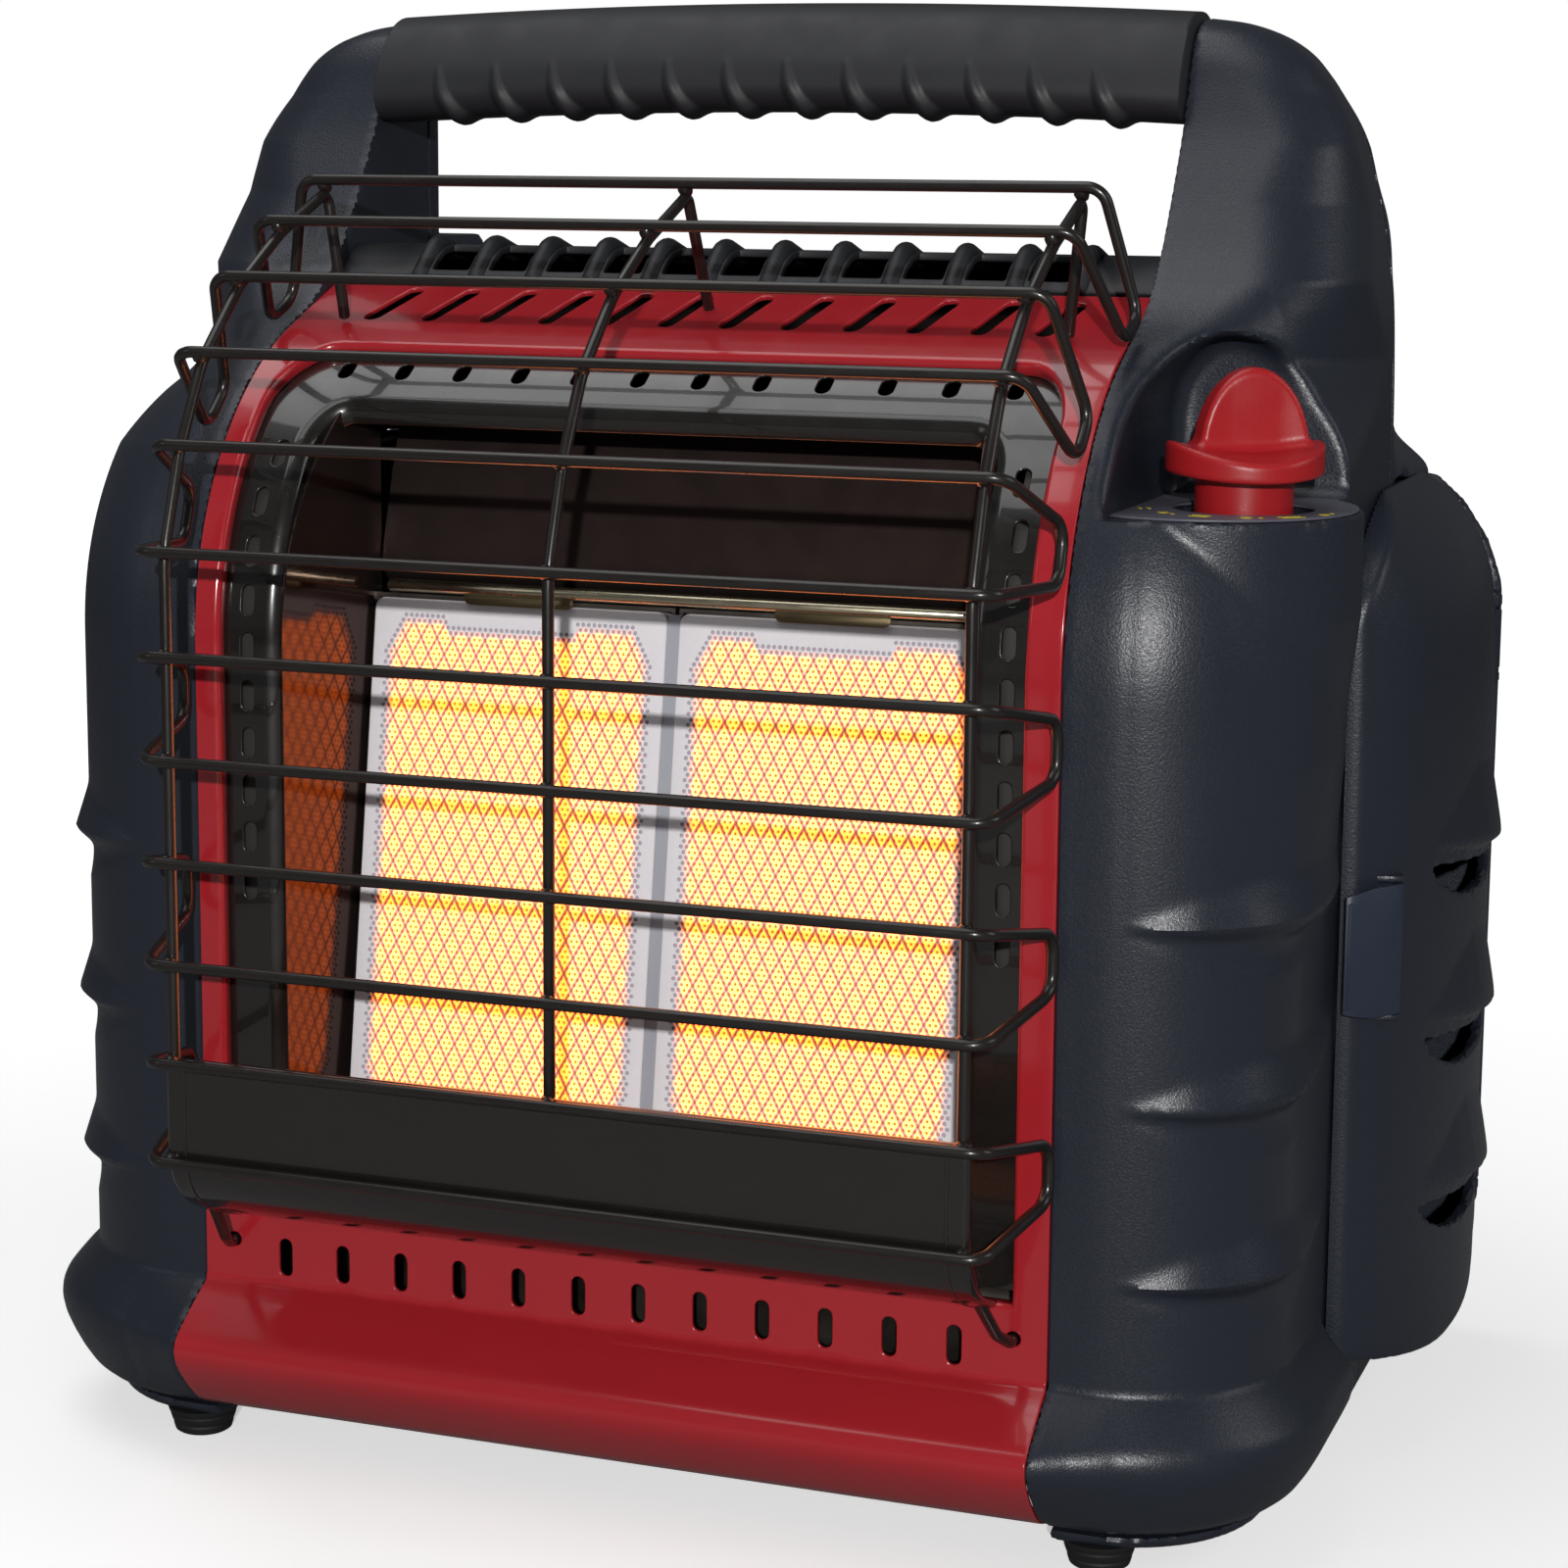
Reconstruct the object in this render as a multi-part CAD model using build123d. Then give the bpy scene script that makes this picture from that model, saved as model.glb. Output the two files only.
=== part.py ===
from build123d import *
import math
import os

# Portable two-tile radiant propane heater. Millimetres, +Z up, front faces -Y.
# The geometry is laid out with y = 0 on the front panel's plane and z = 0 on the floor,
# and every solid is shifted by -Y_CENTRE on export, so the origin is the bottom centre of the box.

# ---------------------------------------------------------------- driving dimensions
Y_CENTRE = 103.75        # half way between guard front (-44.5) and back (252)
PANEL_W = 129.7          # half width of the steel front panel
PANEL_T = 1.5
ARC_C, ARC_R, ARC_Z = 98.0, 98.0, 245.0    # shoulder arc of the front panel: centre y, radius, centre z
ARC_END = 68.0           # degrees swept by the shoulder arc
OPEN_W, OPEN_Z0, OPEN_Z1 = 120.0, 78.0, 329.4   # opening in the front panel
CAV_W, CAV_Z0, CAV_Z1 = 104.5, 90.0, 314.6      # opening in the black surround
WALL = 3.0               # moulded shell wall
BODY_W, BODY_R = 188.0, 48.0   # half width of the housing and its corner radius
BODY_Z0 = 8.0            # underside of the housing above the floor
FLANGE = 12.0            # how far the base flange stands proud
BACK_Y = 252.0
SEAM_Y = 157.0           # front and rear mouldings of the uprights meet here
GRIP_X = 129.9           # half length of the grip
WIRE_R = 2.0             # guard wire radius
GUARD_X = 123.5          # where the guard wires turn
GUARD = [(57.5, 379.4), (29.3, 367.7), (3.4, 352.2), (-18.5, 331.7), (-32.5, 306.7), (-42.5, 277.8),
         (-42.5, 248.5), (-42.5, 219.1), (-42.5, 190.1), (-42.5, 160.7), (-42.5, 132.0), (-42.5, 103.1)]
APEX = [(59.2, 340.7, 132.0), (15.6, 313.7, 130.5), (-2.4, 284.0, 130.2), (-5.0, 233.0, 131.0), (-5.0, 175.4, 131.0), (-5.0, 117.5, 131.0)]
TILT = 8.31              # burner tiles lean back, degrees
TILE_W, TILE_H, TILE_T = 94.3, 157.6, 13.0
TILE_X = 49.15
TILE_Y, TILE_Z = 37.8, 178.0   # centre of the tiles' front face
KNOB_X, KNOB_Y = 166.5, 52.0
KNOB_HOLE = 19.5         # radius of the hole in the platform
PLAT_Z = 292.5           # platform under the knob
NICHE_X, NICHE_Y = 137.0, 92.0
POD_X, POD_Y, POD_R = 154.5, 57.5, 43.5   # pod that carries the platform
KNOB_TRAVEL = 3.0        # push-to-turn travel of the knob
BAY_X, BAY_Y0, BAY_Y1, BAY_Z0, BAY_Z1 = 103.0, 98.0, 241.5, 13.0, 290.0
TANK_X, TANK_Y = 157.0, 170.0  # axis of a one-pound cylinder (99 mm across) hanging in the bay
DOOR_X, DOOR_Y0, DOOR_Y1, DOOR_Z0, DOOR_Z1 = 217.5, 95.0, 240.0, 36.0, 297.0
HINGE_X, HINGE_Y = 207.5, 236.5
THREAD_R = 12.1          # minor radius of the 1"-20 cylinder thread
SWIVEL_X, SWIVEL_Y, SWIVEL_Z = 124.0, 113.0, 276.0
INLET_Z = 237.0          # lower face of the cylinder inlets
FAN_Z, FAN_R = 205.0, 42.0
BAT_X, BAT_Z0, BAT_Z1, BAT_Y0 = 68.0, 22.0, 98.0, 206.0

os.makedirs("parts", exist_ok=True)
NODES = {}


# ---------------------------------------------------------------- helpers
def prism(points, vec):
    face = Face(Wire.make_polygon([Vector(*p) for p in points], close=True))
    return Solid.extrude(face, Vector(*vec))


def prism_x(yz, x0, x1):
    return prism([(x0, y, z) for y, z in yz], (x1 - x0, 0, 0))


def prism_y(xz, y0, y1):
    return prism([(x, y0, z) for x, z in xz], (0, y1 - y0, 0))


def prism_z(xy, z0, z1):
    return prism([(x, y, z0) for x, y in xy], (0, 0, z1 - z0))


def box(x0, x1, y0, y1, z0, z1):
    return Pos((x0 + x1) / 2, (y0 + y1) / 2, (z0 + z1) / 2) * Box(abs(x1 - x0), abs(y1 - y0), abs(z1 - z0))


def rod(a, b, r):
    a, b = Vector(*a), Vector(*b)
    d = b - a
    return Solid.make_cylinder(r, d.length, Plane(origin=a, z_dir=d))


def cone(a, b, r0, r1):
    a, b = Vector(*a), Vector(*b)
    d = b - a
    return Solid.make_cone(r0, r1, d.length, Plane(origin=a, z_dir=d))


def tube(points, radius, bends):
    line = FilletPolyline(*points, radius=bends)
    sec = Plane(origin=Vector(*points[0]), z_dir=Vector(*points[1]) - Vector(*points[0])) * Circle(radius)
    return sweep(sec, path=line)


def offset_poly(pts, d):
    """Closed polygon moved inwards by d (points counter-clockwise or clockwise)."""
    area = sum(pts[i][0] * pts[(i + 1) % len(pts)][1] - pts[(i + 1) % len(pts)][0] * pts[i][1] for i in range(len(pts)))
    s = 1.0 if area > 0 else -1.0
    out = []
    n = len(pts)
    for i in range(n):
        ax, ay = pts[i - 1]
        bx, by = pts[i]
        cx, cy = pts[(i + 1) % n]
        l1, l2 = math.hypot(bx - ax, by - ay), math.hypot(cx - bx, cy - by)
        n1 = (-(by - ay) / l1 * s, (bx - ax) / l1 * s)
        n2 = (-(cy - by) / l2 * s, (cx - bx) / l2 * s)
        k = 1 + n1[0] * n2[0] + n1[1] * n2[1]
        k = max(k, 0.35)
        out.append((bx + d * (n1[0] + n2[0]) / k, by + d * (n1[1] + n2[1]) / k))
    return out


def offset_line(pts, d):
    """Open line moved sideways by d, to the right of its direction when d > 0."""
    out = []
    for i, (x, y) in enumerate(pts):
        a = pts[max(i - 1, 0)]
        b = pts[min(i + 1, len(pts) - 1)]
        if 0 < i < len(pts) - 1:
            l1, l2 = math.hypot(x - a[0], y - a[1]), math.hypot(b[0] - x, b[1] - y)
            n1 = ((y - a[1]) / l1, -(x - a[0]) / l1)
            n2 = ((b[1] - y) / l2, -(b[0] - x) / l2)
            k = max(1 + n1[0] * n2[0] + n1[1] * n2[1], 0.4)
            out.append((x + d * (n1[0] + n2[0]) / k, y + d * (n1[1] + n2[1]) / k))
        else:
            l = math.hypot(b[0] - a[0], b[1] - a[1])
            out.append((x + d * (b[1] - a[1]) / l, y - d * (b[0] - a[0]) / l))
    return out


def arc_pts(cx, cy, r, a0, a1, n):
    return [(cx + r * math.cos(math.radians(a0 + (a1 - a0) * i / n)), cy + r * math.sin(math.radians(a0 + (a1 - a0) * i / n))) for i in range(n + 1)]


def mirror_x(shape):
    return mirror(shape, about=Plane.YZ)


def both(name, shape):
    """Right-hand piece and its mirror image on the left."""
    NODES["right_" + name] = shape
    NODES["left_" + name] = mirror_x(shape)


def slot_y(x, z, w, h, y0, y1):
    """Vertical oblong hole through the thickness of a sheet, along y."""
    r = w / 2
    return rod((x, y0, z - h / 2 + r), (x, y1, z - h / 2 + r), r) + rod((x, y0, z + h / 2 - r), (x, y1, z + h / 2 - r), r) + box(x - r, x + r, y0, y1, z - h / 2 + r, z + h / 2 - r)


def shoulder(z, inset=0.0):
    """y of the front panel's outer face at height z above the lip, moved inwards by inset."""
    if z <= ARC_Z:
        return inset
    return ARC_C - math.sqrt(max((ARC_R - inset) ** 2 - (z - ARC_Z) ** 2, 0))


# ---------------------------------------------------------------- front panel
lip = [(9.0, 13.4), (1.8, 15.0), (-5.5, 18.4), (-11.0, 23.2), (-15.5, 28.2), (-19.0, 33.0), (-20.5, 37.0), (-20.0, 40.2), (-18.0, 42.8), (-14.5, 45.4), (-9.5, 48.8), (-4.5, 52.0), (0.0, 54.5)]
arc = [(ARC_C - ARC_R * math.cos(math.radians(a)), ARC_Z + ARC_R * math.sin(math.radians(a))) for a in [ARC_END * i / 17 for i in range(18)]]
outer = lip + arc + [(92.0, 348.2)]
inner = offset_line(outer, PANEL_T)
panel = prism_x(outer + inner[::-1], -PANEL_W, PANEL_W)
opening = prism_y([(-OPEN_W, OPEN_Z0), (OPEN_W, OPEN_Z0)] + arc_pts(OPEN_W - 14, OPEN_Z1 - 14, 14, 0, 90, 6) + arc_pts(-OPEN_W + 14, OPEN_Z1 - 14, 14, 90, 180, 6), -5, 90)
panel -= opening
SLOT_X = [9.3 + 18.85 * i for i in range(6)]
for x in SLOT_X:
    panel -= slot_y(x, 63.7, 5.2, 12.4, -3, 6)
    panel -= slot_y(-x, 63.7, 5.2, 12.4, -3, 6)
slope = math.atan2(348.2 - 335.86, 92.0 - 61.29)
for i in range(12):
    x0, x1 = -106.2 + 19.16 * i, -100.8 + 19.05 * i
    a, b = Vector(x0, 67.0, 338.3), Vector(x1, 86.6, 346.1)
    nrm = Vector(0, -math.sin(slope), math.cos(slope))
    d = (b - a).normalized()
    w = d.cross(nrm) * 2.3
    q = [a - w, a + w, b + w, b - w]
    low = [p - nrm * 5 for p in q]
    panel -= prism([(p.X, p.Y, p.Z) for p in low], tuple(nrm * 10))
for s in (1, -1):
    panel -= rod((s * 120.5, -3, 67.6), (s * 120.5, 6, 67.6), 2.6)
    for x in (s * 113.0,):
        panel -= rod((x, 62.6 + 3, 345.5 + 1), (x, 62.6, 325), 2.7)
panel -= rod((2.5, 80, 352), (2.5, 76, 330), 2.7)
NODES["front_panel"] = panel

# ---------------------------------------------------------------- black surround and reflector
ring_z = [80.0, ARC_Z] + [ARC_Z + 93.5 * math.sin(math.radians(a)) for a in range(5, 67, 5)]
ring_out = [(shoulder(z, 4.5), z) for z in ring_z]
ring = prism_x(ring_out + offset_line(ring_out, 1.0)[::-1], -125.5, 125.5)
ring -= prism_y([(-CAV_W, CAV_Z0), (CAV_W, CAV_Z0)] + arc_pts(CAV_W - 13, CAV_Z1 - 13, 13, 0, 90, 5) + arc_pts(-CAV_W + 13, CAV_Z1 - 13, 13, 90, 180, 5), -5, 90)
for i in range(12):
    x = -104.0 + 18.8 * i
    ring -= slot_y(x, 322.8, 5.0, 7.4, 20, 80)
for s in (1, -1):
    for z in (296.0, 281.0, 264.0, 246.0, 228.0, 210.0, 192.0, 174.0, 156.0, 138.0):
        ring -= slot_y(s * 113.0, z, 5.0, 9.0, 0, 40)
NODES["inner_surround"] = ring

region_line = [(shoulder(z, 6.0), z) for z in [86.0, ARC_Z] + [ARC_Z + 92 * math.sin(math.radians(a)) for a in range(5, 61, 5)]]
region = prism_x(region_line + [(150.0, region_line[-1][1]), (150.0, 86.0)], -125, 125)
side_wall = prism_z([(105.0, 2.0), (106.2, 2.0), (99.6, 56.0), (98.4, 56.0)], 88, 316)
hood_line = [(54.5, 266.0), (60.0, 284.0), (66.0, 302.0), (70.0, 312.0), (66.0, 316.5), (30.0, 316.5)]
hood = prism_x(hood_line + offset_line(hood_line, 1.0)[::-1], -105.0, 105.0)
sill_line = [(2.0, 91.0), (20.0, 92.0), (24.5, 97.5)]
sill = prism_x(sill_line + offset_line(sill_line, 1.0)[::-1], -104.5, 104.5)
reflector = ((side_wall + mirror_x(side_wall) + hood + sill) & region)
NODES["reflector_box"] = reflector

# ---------------------------------------------------------------- lower guard plate
plate_line = [(-40.2, 131.5), (-40.2, 106.0), (-38.8, 98.5), (-34.0, 91.0), (-26.0, 85.5), (-14.0, 80.5), (-2.0, 76.5)]
PLATE_W = 114.5          # half width of the plate, between the outer guard wires
plate = prism_x(plate_line + offset_line(plate_line, -1.2)[::-1], -PLATE_W, PLATE_W)
cheek_poly = plate_line + [(-3.0, 92.0), (-20.0, 96.0), (-32.0, 108.0), (-33.5, 131.5)]
plate += prism_x(cheek_poly, PLATE_W - 1.2, PLATE_W)
plate += prism_x(cheek_poly, -PLATE_W, 1.2 - PLATE_W)
NODES["lower_guard_plate"] = plate

# ---------------------------------------------------------------- wire guard
def guard_ring(i):
    (ya, za), (yb, zb) = GUARD[2 * i], GUARD[2 * i + 1]
    py, pz, px = APEX[i]
    l = math.hypot(ya - yb, za - zb)
    uy, uz = (ya - yb) / l, (za - zb) / l
    k = 8.0
    out = None
    for s in (1, -1):
        pts = [(0, ya, za), (s * GUARD_X, ya, za), (s * px, py + k * uy, pz + k * uz), (s * px, py - k * uy, pz - k * uz), (s * GUARD_X, yb, zb), (0, yb, zb)]
        half = tube(pts, WIRE_R, [6.0, 6.5, 6.5, 6.0])
        out = half if out is None else out + half
    return out


NODES["guard_upper_rings"] = [guard_ring(i) for i in range(3)]
NODES["guard_lower_rings"] = [guard_ring(i) for i in range(3, 6)]

# upright wires behind the cross wires: a strut from the panel, the shoulder curve, the front, and a hook
NODES["guard_uprights"] = []
up_back = [(61.0, 376.0), (31.2, 363.9), (6.3, 349.2), (-15.2, 329.3), (-28.7, 305.4), (-38.4, 277.2)]
for name, x, sx, foot in (("guard_upright_left", -117.0, -113.0, (63.4, 338.5)), ("guard_upright_right", 117.0, 113.0, (63.4, 338.5)), ("guard_upright_middle", 2.5, 2.5, (78.3, 343.0))):
    pts = [(sx, foot[0], foot[1]), (x, 60.9, 375.9)] + [(x, y, z) for y, z in up_back[1:]]
    if x == 2.5:
        pts += [(x, -38.4, 133.6)]
        bends = [3.0] + [26.0] * (len(pts) - 3)
    else:
        s = 1 if x > 0 else -1
        pts += [(x, -38.4, 134.0), (s * 119.3, -37.5, 104.0), (s * 120.5, -27.0, 86.0), (s * 120.5, -5.5, 67.6), (s * 120.5, 4.5, 67.6)]
        bends = [3.0] + [26.0] * 5 + [40.0, 10.0, 20.0, 4.0]
    bends = bends[: len(pts) - 2]
    if x == 2.5:
        NODES["guard_middle_wire"] = tube(pts, WIRE_R, bends)
    else:
        NODES["guard_uprights"].append(tube(pts, WIRE_R, bends))

# ---------------------------------------------------------------- housing mouldings
S_OUT = [(0.0, BODY_Z0), (0.0, ARC_Z)] + arc[1:] + [(92.5, 348.5), (96.0, 360.0), (103.0, 369.0), (112.0, 382.0), (120.0, 395.0), (125.0, 406.0), (128.5, 415.0), (133.0, 424.0), (140.0, 429.5), (148.0, 431.2), (156.0, 430.5), (164.0, 427.0), (170.0, 418.0), (175.0, 404.0), (181.0, 388.0), (190.0, 371.0), (202.0, 357.0), (218.0, 345.0), (233.0, 331.0), (244.0, 313.0), (250.0, 290.0), (BACK_Y, 262.0), (BACK_Y, 18.0), (249.0, 11.0), (242.0, BODY_Z0)]
F_OUT = [(130.2, BODY_Z0), (180.0, BODY_Z0), (185.5, 10.5), (BODY_W, 17.0), (BODY_W, 303.0), (187.8, 325.0), (187.0, 345.0), (185.5, 359.0), (183.0, 373.0), (180.0, 385.0), (176.0, 397.0), (171.0, 406.0), (166.0, 413.0), (161.6, 418.0), (156.0, 422.5), (151.0, 425.5), (146.0, 427.6), (140.0, 429.6), (130.2, 431.5)]
P_OUT = [(130.2, 0.0)] + arc_pts(BODY_W - BODY_R, BODY_R, BODY_R, -90, 0, 10) + arc_pts(BODY_W - 30, BACK_Y - 30, 30, 0, 90, 7) + [(130.2, BACK_Y)]


def side_body(d):
    s, f, p = (S_OUT, F_OUT, P_OUT) if d == 0 else (offset_poly(S_OUT, d), offset_poly(F_OUT, d), offset_poly(P_OUT, d))
    return prism_x(s, 120, 200) & prism_y(f, -5, 260) & prism_z(p, 0, 440)


B_OUT, B_IN = side_body(0), side_body(WALL)
hollow = B_OUT - B_IN
# the inner side is open towards the burner below the deck
hollow -= box(128, 134, 4, 248, 12, 345.5)

# base flange, continuing the front panel's lip round the corner
FX, FR = BODY_W + FLANGE, 60.0
flange_rim = [(130.2, -19.5), (134.0, -18.5), (142.0, -14.5), (150.0, -11.5)] + arc_pts(BODY_W - BODY_R, BODY_R, BODY_R + FLANGE, -75, 0, 9) + [(FX - 1, 84.0)]
flange = None
for z0, z1, d in ((15.0, 19.5, 6.5), (19.5, 24.0, 4.0), (24.0, 29.0, 1.8), (29.0, 41.0, 0.0), (41.0, 45.0, 2.0), (45.0, 49.0, 4.5), (49.0, 53.0, 7.5)):
    rim = offset_line(flange_rim, -d)
    rim[0] = (130.2, flange_rim[0][1] + d)
    layer = prism_z(rim + [(FX - 6 - d / 2, 91.5), (BODY_W - 1.5, 91.5), (BODY_W - 1.5, BODY_R + 2)] + arc_pts(BODY_W - BODY_R, BODY_R, BODY_R - 1.5, 0, -78, 9) + [(130.2, 1.5)], z0, z1)
    flange = layer if flange is None else flange + layer
column = hollow - box(120, 230, SEAM_Y, 260, 0, 440)
column = column + flange
door_s = [(DOOR_Y0, DOOR_Z0), (DOOR_Y0, 257.0), (98.0, 265.0), (106.0, 274.0), (120.0, 283.5), (140.0, 291.5), (170.0, 297.0), (200.0, 294.5), (222.0, 285.0), (236.0, 266.0), (DOOR_Y1, 246.0), (DOOR_Y1, DOOR_Z0)]
# the bay itself, and the door-shaped aperture through the side wall
bay_cut = box(BAY_X - 6, 184.9, BAY_Y0 + 0.2, BAY_Y1 + 0.3, BAY_Z0 - 0.2, BAY_Z1 + 0.2) + prism_x(offset_poly(door_s, 5.0), 183, 230)
column -= bay_cut
# bore for the rod inside the grip
core_y, core_z = 143.0, 415.0
core_bore = rod((110, core_y, core_z), (152, core_y, core_z), 6.1)
column -= core_bore
left_column = mirror_x(column)

# knob niche and pod, on the right-hand side only
niche_front = [(NICHE_X, PLAT_Z), (NICHE_X, 318.0), (140.5, 326.0), (144.0, 333.0), (150.0, 337.5), (156.0, 338.5), (163.0, 336.5), (170.0, 332.5), (177.0, 327.0), (183.0, 319.5), (187.5, 311.0), (190.0, 303.0), (191.0, PLAT_Z)]
niche = prism_y(niche_front, -30, NICHE_Y)
pod_solid = rod((POD_X, POD_Y, 246), (POD_X, POD_Y, PLAT_Z), POD_R) & box(NICHE_X - 0.5, 230, -20, 97, 0, 440)
pod_low = cone((150, 60, 200), (POD_X, POD_Y, 246), 36.0, POD_R) & box(NICHE_X - 0.5, 230, -20, 97, 0, 440)
pod_skin = (pod_solid + pod_low) - (rod((POD_X, POD_Y, 200), (POD_X, POD_Y, PLAT_Z - WALL), POD_R - 3.0) + B_IN)
platform = (prism_z([(NICHE_X - 3, 5), (200, 5), (200, NICHE_Y + 3), (NICHE_X - 3, NICHE_Y + 3)], PLAT_Z - WALL, PLAT_Z) & (B_OUT + pod_solid)) - rod((KNOB_X, KNOB_Y, 280), (KNOB_X, KNOB_Y, 300), KNOB_HOLE)
niche_wall = (prism_y(offset_poly(niche_front, -WALL), 0, NICHE_Y + WALL) & B_OUT) - niche
right_column = (column - niche) + (niche_wall - box(100, 240, -50, 260, 0, PLAT_Z - WALL)) + pod_skin + platform
right_column -= rod((KNOB_X, KNOB_Y, 270), (KNOB_X, KNOB_Y, PLAT_Z + 1), KNOB_HOLE)
right_column -= bay_cut
right_column -= box(128, 134, 4, 157, 12, PLAT_Z - 12)
NODES["left_side_shell"] = left_column
NODES["right_side_shell"] = right_column

# rear moulding: back halves of the uprights, sloping rear deck and the back wall
upper = (hollow & box(120, 230, SEAM_Y + 0.3, 260, 0, 440)) - core_bore - bay_cut
rear_line = [(162.0, 357.5), (184.0, 354.5), (202.0, 349.0), (218.0, 341.0), (233.0, 329.0), (244.0, 312.0), (250.0, 290.0), (BACK_Y, 262.0), (BACK_Y, 18.0), (249.0, 11.0), (243.0, BODY_Z0)]
rear_band = prism_x(rear_line + offset_line(rear_line, 3.0)[::-1], -130.3, 130.3)
back_plate = prism_z([(180.0, 244.2)] + [(208.0, 244.2), (210.0, 246.2), (209.0, 249.5), (205.0, BACK_Y), (150.0, BACK_Y), (150.0, 249.0), (180.0, 249.0)], BODY_Z0, 300)
back_plate &= prism_y([(140.0, BODY_Z0), (184.0, BODY_Z0), (188.0, 12.0), (189.0, 30.0), (197.0, 36.0), (206.0, 40.0), (212.0, 50.0), (212.0, 236.0), (210.0, 252.0), (204.0, 267.0), (196.0, 279.0), (187.0, 287.0), (140.0, 294.0)], 200, 260)
rear = rear_band + upper + mirror_x(upper) + back_plate + mirror_x(back_plate)
EARS = [(52.0, 56.0), (76.3, 80.3), (222.0, 226.0), (246.3, 250.3)]
for z0, z1 in EARS:
    ear = rod((HINGE_X, HINGE_Y, z0), (HINGE_X, HINGE_Y, z1), 4.0) + box(HINGE_X - 4.0, HINGE_X + 2.5, HINGE_Y, 245.0, z0, z1)
    ear -= rod((HINGE_X, HINGE_Y, z0 - 1), (HINGE_X, HINGE_Y, z1 + 1), 2.0)
    rear = rear + ear + mirror_x(ear)
# openings in the back wall: fan grille, battery hatch, switch and power socket
for i in range(9):
    z = FAN_Z - 36 + 9 * i
    half = math.sqrt(max(38.0 ** 2 - (z - FAN_Z) ** 2, 60.0))
    rear -= box(-half, half, 246, 256, z - 2.4, z + 2.4)
rear -= box(-70.4, 70.4, 246, 256, 23.6, 101.0) + rod((-72.2, 250.4, 98.8), (72.2, 250.4, 98.8), 1.05)
rear -= box(78.0, 98.0, 246, 256, 150.0, 164.0)
rear -= rod((88.0, 246, 130.0), (88.0, 256, 130.0), 5.2)
for i in range(8):
    z = 262 - 7 * i
    rear -= box(84, 120, 246, 256, z, z + 3)
    rear -= box(-120, -84, 246, 256, z, z + 3)
NODES["rear_shell"] = rear

# ---------------------------------------------------------------- base pan and feet
pan = box(-129.8, 129.8, 46.0, 238.0, BODY_Z0 + 1.0, BODY_Z0 + 3.0)
for x0, x1 in ((-129.8, -102.0), (102.0, 129.8)):
    pan -= box(x0, x1, BAY_Y0 - 1, 250, 0, 20)
pan += box(-101.0, 101.0, 236.0, 238.0, BODY_Z0 + 1.0, 19.0)
for i in range(8):
    x = -77 + 22 * i
    pan -= box(x - 4, x + 4, 100, 190, 0, 20)
FOOT_XY = [(142.0, 17.0), (-142.0, 17.0), (142.0, 225.0), (-142.0, 225.0)]
NODES["base_pan"] = pan
feet = None
for x, y in FOOT_XY:
    f = cone((x, y, 0), (x, y, BODY_Z0 - 0.05), 8.5, 11.0) - rod((x, y, -1), (x, y, 3.0), 4.0)
    feet = f if feet is None else feet + f
NODES["rubber_feet"] = feet

# ---------------------------------------------------------------- top deck grille
deck_line = [(93.5, 349.8), (96.0, 352.5), (106.0, 358.6), (112.0, 359.4), (161.6, 357.6)]
deck = prism_x(deck_line + offset_line(deck_line, 2.4)[::-1], -129.8, 129.8)
for i in range(11):
    x = -93.4 + 19.1 * i
    deck -= box(x - 6.0, x + 6.0, 95.5, 107.0, 340, 370)
for i in range(12):
    x = -103.0 + 19.1 * i
    rib = tube([(x, 94.5, 350.6), (x, 108.0, 360.3), (x, 122.0, 357.0)], 3.3, [8.0])
    deck += rib
for i in range(6):
    deck -= box(-100, 100, 128 + 5.2 * i, 130.4 + 5.2 * i, 340, 370)
NODES["top_grille"] = deck
shield_line = [(76.0, 331.0), (110.0, 341.0), (150.0, 346.0), (205.0, 335.0)]
NODES["heat_shield"] = prism_x(shield_line + offset_line(shield_line, 1.0)[::-1], -126.0, 126.0)

# ---------------------------------------------------------------- grip
def grip_section(x, dz, grow=0.0):
    base = [(121.0, 398.6), (117.2, 403.5), (118.0, 410.0), (122.5, 418.5), (128.5, 425.5), (136.5, 429.6), (145.0, 430.6), (153.5, 429.6), (161.0, 424.5), (164.6, 416.5), (164.0, 407.5), (159.0, 401.0), (151.0, 398.2), (136.0, 397.4)]
    pts = offset_poly(base, -grow) if grow else base
    return Face(Wire([Spline(*[Vector(x, y, z + dz) for y, z in pts], periodic=True)]))


grip_sections = [Wire(grip_section(x, dz).outer_wire().edges()) for x, dz in ((-GRIP_X, 0.0), (-64.0, 2.6), (0.0, 3.4), (64.0, 2.6), (GRIP_X, 0.0))]
grip = Solid.make_loft(grip_sections)
for i in range(12):
    x = -106.0 + 19.3 * i
    dz = 3.4 * (1 - (x / GRIP_X) ** 2)
    band = Solid.extrude(grip_section(x - 3.2, dz, 1.6), Vector(6.4, 0, 0)) & box(x - 4, x + 4, 100, 150, 380, 418)
    grip += band
grip -= rod((-140, core_y, core_z), (140, core_y, core_z), 6.1)
NODES["handle_grip"] = grip
NODES["handle_rod"] = rod((-149, core_y, core_z), (149, core_y, core_z), 6.0)

# ---------------------------------------------------------------- burner
def on_tile(shape):
    return Pos(0, TILE_Y, TILE_Z) * Rot(-TILT, 0, 0) * shape


def tbox(x0, x1, y0, y1, z0, z1):
    return on_tile(box(x0, x1, y0, y1, z0, z1))


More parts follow.
